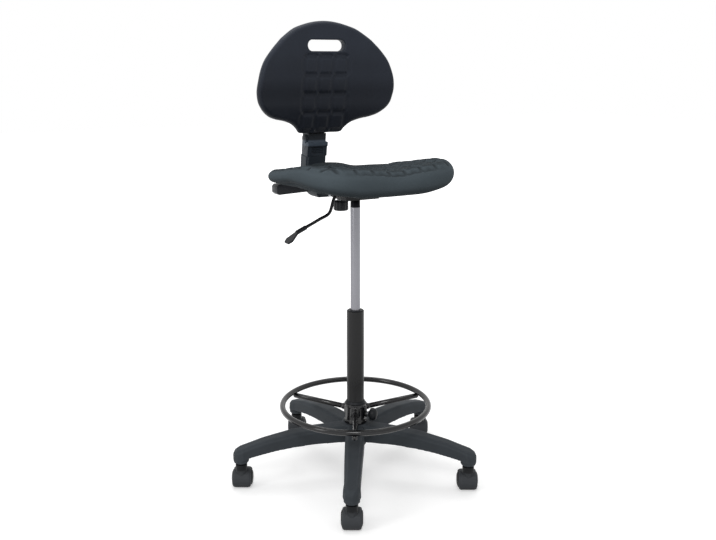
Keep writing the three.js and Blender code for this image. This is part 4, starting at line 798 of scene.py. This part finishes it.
def column():
    low, high = low_high("column_tube")
    radius = radius_of("column_tube")
    bore = radius - TUBE_WALL
    tube = rounded([(radius - TUBE_EDGE, low.z), (radius, low.z + TUBE_FOOT), (radius, high.z),
                    (bore, high.z), (bore, low.z)], TUBE_EDGE)
    piece = revolve("column_tube_skin", tube, TUBE_SEGMENTS, hollow=True)
    dress(piece, "base", tube_coat, "black_steel", "column_tube")
    hole, outer = radius_of("gas_cylinder") + CLEARANCE, bore - CLEARANCE
    crown = high.z + BUSH_STAND_OUT
    bush = rounded([(hole, high.z - BUSH_WALL_DEPTH), (hole, crown), (outer, crown),
                    (outer + BUSH_FLANGE, crown - BUSH_FLANGE), (outer, high.z - CLEARANCE),
                    (outer, high.z - BUSH_WALL_DEPTH)], BUSH_EDGE)
    piece = revolve("guide_bush_skin", bush, TUBE_SEGMENTS, hollow=True)
    dress(piece, "base", black_plastic, "black_plastic", "guide_bush")


def gas_cylinder():
    low, high = low_high("gas_cylinder")
    radius = radius_of("gas_cylinder")
    shoulder = high.z - TAPER_LENGTH
    straight = rounded([(radius - TUBE_EDGE, low.z), (radius, low.z + TUBE_EDGE), (radius, shoulder),
                        (radius - CLEARANCE, shoulder)], CLEARANCE)
    piece = revolve("gas_cylinder_skin", straight, TUBE_SEGMENTS)
    dress(piece, "seat_unit", chrome, "chrome", "gas_cylinder")
    taper = rounded([(radius - CLEARANCE, shoulder), (radius, shoulder + CLEARANCE),
                     (radius - TAPER_LOSS, high.z)], CLEARANCE)
    dress(revolve("gas_taper", taper, TUBE_SEGMENTS), "seat_unit", taper_black, "chrome")


column()
gas_cylinder()


# Foot ring: hoop, spokes, hub with its lobes, sleeve, screw and knob

RING_RADIUS = 214
RING_TUBE = 8.2
RING_HEIGHT = 218
RING_STEPS = 240
ROUND_SIDES = 28
SPOKE_COUNT = 3
SPOKE_RADIUS = 7.6
SPOKE_WELD = 1.5
SPOKE_END = [(-6, 0), (0, 0), (2.5, 0.9), (4.6, 3), (5.6, 6)]
BEAD_RISE = 1.4
BEAD_HALF = 7
BEAD_SEGMENTS = 32
HUB_RADIUS = 32.5
HUB_WAIST = 30.2
HUB_ROOT = HUB_WAIST - 1
HUB_FLANGE = 9
HUB_EDGE = 1.8
LOBE_RADIUS = 15
LOBE_REACH = 22
LOBE_BOTTOM = 186
LOBE_TOP_DROP = 3
LOBE_CROWN_DROP = 1
LOBE_EDGE = 6
LOBE_CORNER = 8
LOBE_SEGMENTS = 48
SLEEVE_COLLAR = 7.3
SLEEVE_EDGE = 0.9
CLAMP_ANGLE = -38
CLAMP_HEIGHT = 189
NUT_RADIUS = 8.5
NUT_TOP = HUB_WAIST + 5
NUT_EDGE = 0.8
NUT_SEGMENTS = 36
SCREW_RADIUS = 4.4
KNOB_RADIUS = 18.5
KNOB_NECK = 9
KNOB_START = HUB_RADIUS + 5
KNOB_SHARES = [(0.62, 4), (0.93, 7), (1, 12), (0.97, 18), (0.8, 23.5), (0.45, 27.4), (0.01, 28)]
KNOB_EDGE = 3
KNOB_SEGMENTS = 64
CENTRE_LINE = 0.2


def hoop():
    angles = np.linspace(0, 2 * math.pi, RING_STEPS, endpoint=False)
    turns = np.linspace(0, 2 * math.pi, ROUND_SIDES, endpoint=False)
    rings = []
    for angle in angles:
        reach = RING_RADIUS + RING_TUBE * np.cos(turns)
        rings.append(np.stack([reach * math.cos(angle), reach * math.sin(angle),
                               RING_HEIGHT + RING_TUBE * np.sin(turns)], axis=1))
    return loft("hoop", rings, closed=True)


def kept_outside(piece, radius):
    """Moves what lies nearer to the column's axis than radius out to it."""
    axis = Vector(AXIS).xy
    for vertex in piece.data.vertices:
        away = vertex.co.xy - axis
        if away.length < radius * MM:
            away *= radius * MM / away.length
            vertex.co.xy = axis + away
    return piece


def outward(angle):
    """The turn that lays a revolve's axis level, pointing out from the column."""
    return Matrix.Rotation(angle, 4, "Z") @ Matrix.Rotation(math.pi / 2, 4, "Y")


def spoke(angle, hub_top):
    """A spoke, the hub's lobe over its root, and its weld bead."""
    ahead = np.array([math.cos(angle), math.sin(angle), 0])
    level = np.array([0, 0, RING_HEIGHT - RING_TUBE - SPOKE_RADIUS + SPOKE_WELD])
    reach = [HUB_ROOT] + [RING_RADIUS + out for out, loss in SPOKE_END]
    radii = [SPOKE_RADIUS] + [SPOKE_RADIUS - loss for out, loss in SPOKE_END]
    rod = sweep("spoke", [ahead * out + level for out in reach], radii, ROUND_SIDES)
    section = rounded([(CENTRE_LINE, LOBE_BOTTOM), (LOBE_RADIUS, LOBE_BOTTOM),
                       (LOBE_RADIUS, hub_top - LOBE_TOP_DROP), (CENTRE_LINE, hub_top - LOBE_CROWN_DROP)],
                      LOBE_EDGE, LOBE_CORNER)
    lobe = kept_outside(revolve("lobe", section, LOBE_SEGMENTS, ahead * LOBE_REACH), HUB_ROOT)
    foot = SPOKE_RADIUS + CENTRE_LINE
    crown = foot + BEAD_RISE
    swell = [(foot, -BEAD_HALF), (crown, -BEAD_HALF / 3), (crown, BEAD_HALF / 3), (foot, BEAD_HALF)]
    bead = revolve("bead", swell, BEAD_SEGMENTS, ahead * (HUB_RADIUS + BEAD_HALF) + level, outward(angle))
    return [rod, lobe, bead]


def ring_hub(bore, bottom, top):
    waist = HUB_FLANGE + HUB_EDGE
    section = rounded([
        (bore, bottom), (HUB_RADIUS, bottom), (HUB_RADIUS, bottom + HUB_FLANGE),
        (HUB_WAIST, bottom + waist), (HUB_WAIST, top - waist),
        (HUB_RADIUS, top - HUB_FLANGE), (HUB_RADIUS, top), (bore, top)], HUB_EDGE, FINE_CORNER)
    return revolve("hub", section, TUBE_SEGMENTS, hollow=True)


def foot_ring():
    inner = radius_of("column_tube") + CLEARANCE
    sleeve = inner + SLEEVE_WALL
    bottom, top = low_high("foot_ring")[0].z, low_high("ring_sleeve")[1].z
    hub_top = top - SLEEVE_COLLAR - CLEARANCE
    clamp, clamp_turn = (0, 0, CLAMP_HEIGHT), outward(math.radians(CLAMP_ANGLE))
    parts = [hoop()]
    for index in range(SPOKE_COUNT):
        parts += spoke(2 * math.pi * index / SPOKE_COUNT, hub_top)
    parts.append(ring_hub(sleeve + CLEARANCE, bottom, hub_top))
    nut = rounded([(CENTRE_LINE, HUB_ROOT), (NUT_RADIUS, HUB_ROOT), (NUT_RADIUS, NUT_TOP),
                   (SCREW_RADIUS, NUT_TOP)], NUT_EDGE)
    parts.append(revolve("nut", nut, NUT_SEGMENTS, clamp, clamp_turn))
    dress(joined("foot_ring_skin", parts), "ring_unit", ring_paint, "black_paint", "foot_ring")

    neck = [(SCREW_RADIUS, KNOB_START), (KNOB_NECK, KNOB_START),
            (KNOB_NECK, KNOB_START + KNOB_SHARES[0][1])]
    head = [(share * KNOB_RADIUS, KNOB_START + out) for share, out in KNOB_SHARES]
    section = rounded(neck + head, KNOB_EDGE, FINE_CORNER)
    knob = revolve("clamp_knob_skin", section, KNOB_SEGMENTS, clamp, clamp_turn)
    dress(knob, "ring_clamp", black_plastic, "black_plastic", "clamp_knob")

    cone = rounded([(inner, bottom), (sleeve, bottom), (sleeve, hub_top + CLEARANCE),
                    (HUB_RADIUS - SLEEVE_WALL, hub_top + CLEARANCE), (inner + SLEEVE_WALL / 2, top),
                    (inner, top)], SLEEVE_EDGE)
    piece = revolve("ring_sleeve_skin", cone, TUBE_SEGMENTS, hollow=True)
    dress(piece, "ring_collar", black_plastic, "black_plastic", "ring_sleeve")


foot_ring()


# Star base and casters

BASE_VOXEL = 1.9
BASE_SMOOTHING = 4
CASTER_COUNT = 5
CASTER_PIVOT = 342
FIRST_ARM = -121
CASTER_HEADING = 60
CASTER_TRAIL = 18
HOOD_VOXEL = 0.75
HOOD_SMOOTHING = 18
BARREL_START = 13
BARREL_LOSS = 0.15
BARREL_MIDDLE = 28
BARREL_HALF_HEIGHT = 28
BARREL_POWER = 3

# Wheel's section: radius and distance from its inner face, from the axle over the tread to the cap

WHEEL_RADIUS = 25
WHEEL_INNER_FACE = 8.3
WHEEL_SECTION = [(4, 0), (23, 0), (25, 2), (25, 13), (22.5, 18), (17.5, 20.6), (16.6, 20.2), (15.6, 21.3),
                 (6, 21.5), (5, 20.5), (0.2, 20.7)]
WHEEL_EDGE = 1.6
WHEEL_SEGMENTS = 72


def wheel_mesh(side):
    turn = Matrix.Rotation(-side * math.pi / 2, 4, "X")
    middle = (CASTER_TRAIL, side * WHEEL_INNER_FACE, WHEEL_RADIUS)
    section = rounded(WHEEL_SECTION, WHEEL_EDGE, FINE_CORNER)
    return revolve("wheel", section, WHEEL_SEGMENTS, middle, turn)


def barrel(hood, centre, heading):
    """Narrows a hood's cover toward its top and its foot, as the moulding's crowned sides do."""
    across = Vector((-math.sin(heading), math.cos(heading), 0))
    for vertex in hood.data.vertices:
        out = (vertex.co - centre).dot(across) / MM
        share = smooth_step((abs(out) - BARREL_START) / BARREL_START)
        height = (vertex.co.z / MM - BARREL_MIDDLE) / BARREL_HALF_HEIGHT
        vertex.co -= across * (out * share * BARREL_LOSS * min(1, abs(height)) ** BARREL_POWER) * MM
    return hood


def caster_pivot(index):
    angle = math.radians(FIRST_ARM + index * 360 / CASTER_COUNT)
    return Vector(place([(CASTER_PIVOT * math.cos(angle), CASTER_PIVOT * math.sin(angle), 0)])[0])


def casters():
    heading = math.radians(CASTER_HEADING)
    first = caster_pivot(0)
    hood = barrel(softened("caster_hood_1", HOOD_VOXEL, HOOD_SMOOTHING, "hood_source"), first, heading)
    for index in range(CASTER_COUNT):
        number = index + 1
        there = caster_pivot(index)
        shell = bpy.data.objects.new(f"caster_hood_skin_{number}", hood.data.copy())
        bpy.context.scene.collection.objects.link(shell)
        shell.data.transform(Matrix.Translation(there - first))
        dress(shell, f"caster_{number}", hood_nylon, "nylon", f"caster_hood_{number}")
        spin = Matrix.Translation(there) @ Matrix.Rotation(heading, 4, "Z") @ Matrix.Translation(-AXIS)
        for side, word in ((1, "left"), (-1, "right")):
            wheel = wheel_mesh(side)
            wheel.name = f"wheel_{word}_skin_{number}"
            wheel.data.transform(spin)
            dress(wheel, f"wheel_{word}_{number}", tread_nylon, "tread_nylon",
                  f"caster_wheel_{word}_{number}")
        repaint(f"caster_stem_{number}", zinc)
        repaint(f"caster_axle_{number}", zinc)
    bpy.data.objects.remove(hood)


dress(softened("star_base", BASE_VOXEL, BASE_SMOOTHING), "base", nylon, "nylon", "star_base")
casters()


# Mechanism, lever, tension knob, back bar cover and bracket

LEVER_PIVOT = (-38, 859)
LEVER_REACH = 142
LEVER_DROP = 110
LEVER_PATH_SHARES = [(0.134, 0.082), (0.218, 0.273), (0.317, 0.6), (0.521, 0.727), (0.761, 0.864), (1, 1)]
LEVER_RADIUS = 4.5
LEVER_END = 5
LEVER_STEPS = 8
LEVER_SIDES = 24
GRIP_VOXEL = 0.8
GRIP_SMOOTHING = 8
PIVOT_PIN_RADIUS = 2.5
PIVOT_PIN_HALF = 8
KNOB_FLUTES = 12
FLUTE_DEPTH = 1.5
FLUTE_START = 0.8
FLUTE_FADE = 0.15
KNOB_FOOT_SHARES = [(0, 0.2), (0, 0.86), (0.043, 0.95), (0.107, 1)]
KNOB_HEAD_SHARES = [(0.857, 0.985), (0.95, 0.95), (1, 0.84), (1, 0.3)]
KNOB_STEPS = 144
KNOB_SHARP_ANGLE = 50
COVER_VOXEL = 1.1
COVER_SMOOTHING = 10


def blend(one, two, low, high, at):
    """The point between two others that a value has reached between low and high."""
    return one + (two - one) * (at - low) / (high - low)


def open_curve(points, steps):
    """A smooth line through points, which keeps close to them also where they lie unevenly."""
    points = [np.array(p, float) for p in points]
    chain = [2 * points[0] - points[1]] + points + [2 * points[-1] - points[-2]]
    curve = []
    for start in range(len(points) - 1):
        four = chain[start:start + 4]
        spans = [math.sqrt(np.linalg.norm(after - here)) for here, after in zip(four, four[1:])]
        knots = np.cumsum([0] + spans)
        for t in np.linspace(knots[1], knots[2], steps, endpoint=False):
            pairs = [blend(four[i], four[i + 1], knots[i], knots[i + 1], t) for i in range(3)]
            left, right = [blend(pairs[i], pairs[i + 1], knots[i], knots[i + 2], t) for i in range(2)]
            curve.append(blend(left, right, knots[1], knots[2], t))
    return curve + [points[-1]]


def lever():
    inner = low_high("release_pin")[1].z + CLEARANCE + LEVER_RADIUS
    x, z = LEVER_PIVOT
    outside = [(x - out * LEVER_REACH, z - down * LEVER_DROP) for out, down in LEVER_PATH_SHARES]
    curve = open_curve([(LEVER_END, inner), (0, inner), LEVER_PIVOT] + outside, LEVER_STEPS)
    rod = sweep("rod", [(px, 0, pz) for px, pz in curve], LEVER_RADIUS, LEVER_SIDES)
    pin = sweep("pin", [(x, y, z) for y in (-PIVOT_PIN_HALF, PIVOT_PIN_HALF)], PIVOT_PIN_RADIUS)
    dress(joined("lever_rod_skin", [rod, pin]), "height_lever", mech_coat, "black_steel", "lever_rod")
    grip = softened("lever_grip", GRIP_VOXEL, GRIP_SMOOTHING)
    dress(grip, "height_lever", black_plastic, "black_plastic", "lever_grip")


def tension_knob():
    low, high = low_high("tension_knob")
    middle = (low + high) / 2
    radius, length = (high.x - low.x) / 2, high.z - low.z
    angles = np.linspace(0, 2 * math.pi, KNOB_STEPS, endpoint=False)
    rings = []
    for rise, share in KNOB_FOOT_SHARES + KNOB_HEAD_SHARES:
        depth = FLUTE_DEPTH * min(1, max(0, (share - FLUTE_START) / FLUTE_FADE))
        reach = radius * share + depth * (np.cos(KNOB_FLUTES * angles) - 1) / 2
        rings.append(np.stack([middle.x + reach * np.cos(angles), middle.y + reach * np.sin(angles),
                               np.full_like(angles, low.z + rise * length)], axis=1))
    piece = loft("tension_knob_skin", rings)
    piece.data.set_sharp_from_angle(angle=math.radians(KNOB_SHARP_ANGLE))
    dress(piece, "tension_adjuster", black_plastic, "black_plastic", "tension_knob")


def bodywork():
    """Pieces that keep the solid's shape with rounded edges: node, edge, body, finish and slot."""
    cover = softened("back_bar_cover", COVER_VOXEL, COVER_SMOOTHING)
    dress(cover, "back_unit", cover_plastic, "cover_plastic", "back_bar_cover")
    for node, edge, body, material, slot in (
            ("backrest_bracket", 0.9, "backrest_unit", bracket_plastic, "cover_plastic"),
            ("seat_pan", 1.6, "seat_unit", pan_plastic, "black_plastic"),
            ("mech_housing", 0.5, "seat_unit", mech_coat, "black_steel"),
            ("back_bar", 0.8, "back_unit", mech_coat, "black_steel")):
        dress(bevelled(node, edge), body, material, slot, node)


lever()
tension_knob()
bodywork()
for node in ("thrust_bearing", "piston_rod", "retaining_clip", "release_pin", "clamp_screw", "seat_bolt_1",
             "seat_bolt_2", "seat_bolt_3", "seat_bolt_4", "recline_pin", "tension_screw", "tension_spring",
             "ratchet_pawl"):
    repaint(node, zinc)
repaint("backrest_insert", plate_steel)


# Floor, backdrop, lights and camera

FLOOR_GLOW = 0.37
FAR_GLOW = 1.0
GLOW_NEAR = 0.9
GLOW_FAR = 2.6
FLOOR_COLOUR = 0.8
FLOOR_ROUGHNESS = 0.9
FLOOR_REACH = 14
WORLD_STRENGTH = 0.56

# Lamps: name, place and size in metres, power in watts

LAMP_TARGET = (0, 0, 0.8)
LAMPS = [
    ("key", (-1.7, -2.8, 3.0), (1.0, 1.0), 40),
    ("side", (-3.2, -0.4, 1.8), (0.8, 2.2), 26),
    ("top", (0.2, 0.5, 3.4), (2.0, 2.0), 42),
]


def seen_share(tree):
    """1 for what the camera sees, straight or in metal and clear pieces, and 0 for other light."""
    path = tree.nodes.new("ShaderNodeLightPath")
    mirrored = add_node(tree, "ShaderNodeMath", operation="MAXIMUM")
    tree.links.new(path.outputs["Is Glossy Ray"], mirrored.inputs[0])
    tree.links.new(path.outputs["Is Transmission Ray"], mirrored.inputs[1])
    seen = add_node(tree, "ShaderNodeMath", operation="MAXIMUM")
    tree.links.new(path.outputs["Is Camera Ray"], seen.inputs[0])
    tree.links.new(mirrored.outputs[0], seen.inputs[1])
    return seen.outputs[0]


def white_floor():
    """A pale floor that keeps the object's shadow and goes over into the white backdrop further out."""
    material, tree, shader = new_material("floor_white")
    shader.inputs["Base Color"].default_value = (FLOOR_COLOUR, FLOOR_COLOUR, FLOOR_COLOUR, 1)
    shader.inputs["Roughness"].default_value = FLOOR_ROUGHNESS
    shader.inputs["Specular IOR Level"].default_value = 0.0
    where = tree.nodes.new("ShaderNodeTexCoord").outputs["Object"]
    away = add_node(tree, "ShaderNodeVectorMath", operation="LENGTH")
    tree.links.new(where, away.inputs[0])
    glow = map_range(tree, away.outputs["Value"], GLOW_NEAR, GLOW_FAR, FLOOR_GLOW, FAR_GLOW, "SMOOTHSTEP")
    light = add_node(tree, "ShaderNodeMath", operation="MULTIPLY")
    tree.links.new(seen_share(tree), light.inputs[0])
    tree.links.new(glow, light.inputs[1])
    tree.links.new(light.outputs[0], shader.inputs["Emission Strength"])
    shader.inputs["Emission Color"].default_value = (1, 1, 1, 1)
    return material


def floor():
    mesh = bpy.data.meshes.new("floor")
    corners = [(x * FLOOR_REACH, y * FLOOR_REACH, 0) for x, y in ((-1, -1), (1, -1), (1, 1), (-1, 1))]
    mesh.from_pydata(corners, [], [(0, 1, 2, 3)])
    piece = bpy.data.objects.new("floor", mesh)
    bpy.context.scene.collection.objects.link(piece)
    piece.data.materials.append(white_floor())


def world():
    sky = bpy.data.worlds.new("studio")
    bpy.context.scene.world = sky
    sky.use_nodes = True
    tree = sky.node_tree
    background = tree.nodes["Background"]
    background.inputs["Color"].default_value = (1, 1, 1, 1)
    strength = map_range(tree, seen_share(tree), 0, 1, WORLD_STRENGTH, 1)
    tree.links.new(strength, background.inputs["Strength"])


def soft_light(name, where, size, power):
    lamp = bpy.data.lights.new(name, "AREA")
    lamp.shape = "RECTANGLE"
    lamp.size, lamp.size_y = size
    lamp.energy = power
    piece = bpy.data.objects.new(name, lamp)
    bpy.context.scene.collection.objects.link(piece)
    piece.location = where
    piece.rotation_euler = (Vector(LAMP_TARGET) - Vector(where)).to_track_quat("-Z", "Y").to_euler()


def camera():
    heading = math.radians(CAMERA_HEADING)
    ahead = Vector((math.sin(heading), math.cos(heading), 0))
    right = Vector((math.cos(heading), -math.sin(heading), 0))
    lens = bpy.data.cameras.new("camera")
    lens.sensor_width = SENSOR_WIDTH
    lens.lens = SENSOR_WIDTH * FOCAL_PIXELS / PHOTO_WIDTH
    piece = bpy.data.objects.new("camera", lens)
    bpy.context.scene.collection.objects.link(piece)
    piece.location = AXIS + (right * CAMERA_SIDE_STEP - ahead * CAMERA_DISTANCE
                             + Vector((0, 0, CAMERA_HEIGHT))) * MM
    piece.rotation_euler = (math.radians(90 - CAMERA_PITCH), 0, -heading)
    bpy.context.scene.camera = piece


floor()
world()
for lamp in LAMPS:
    soft_light(*lamp)
camera()
bpy.context.scene.view_settings.view_transform = "Standard"
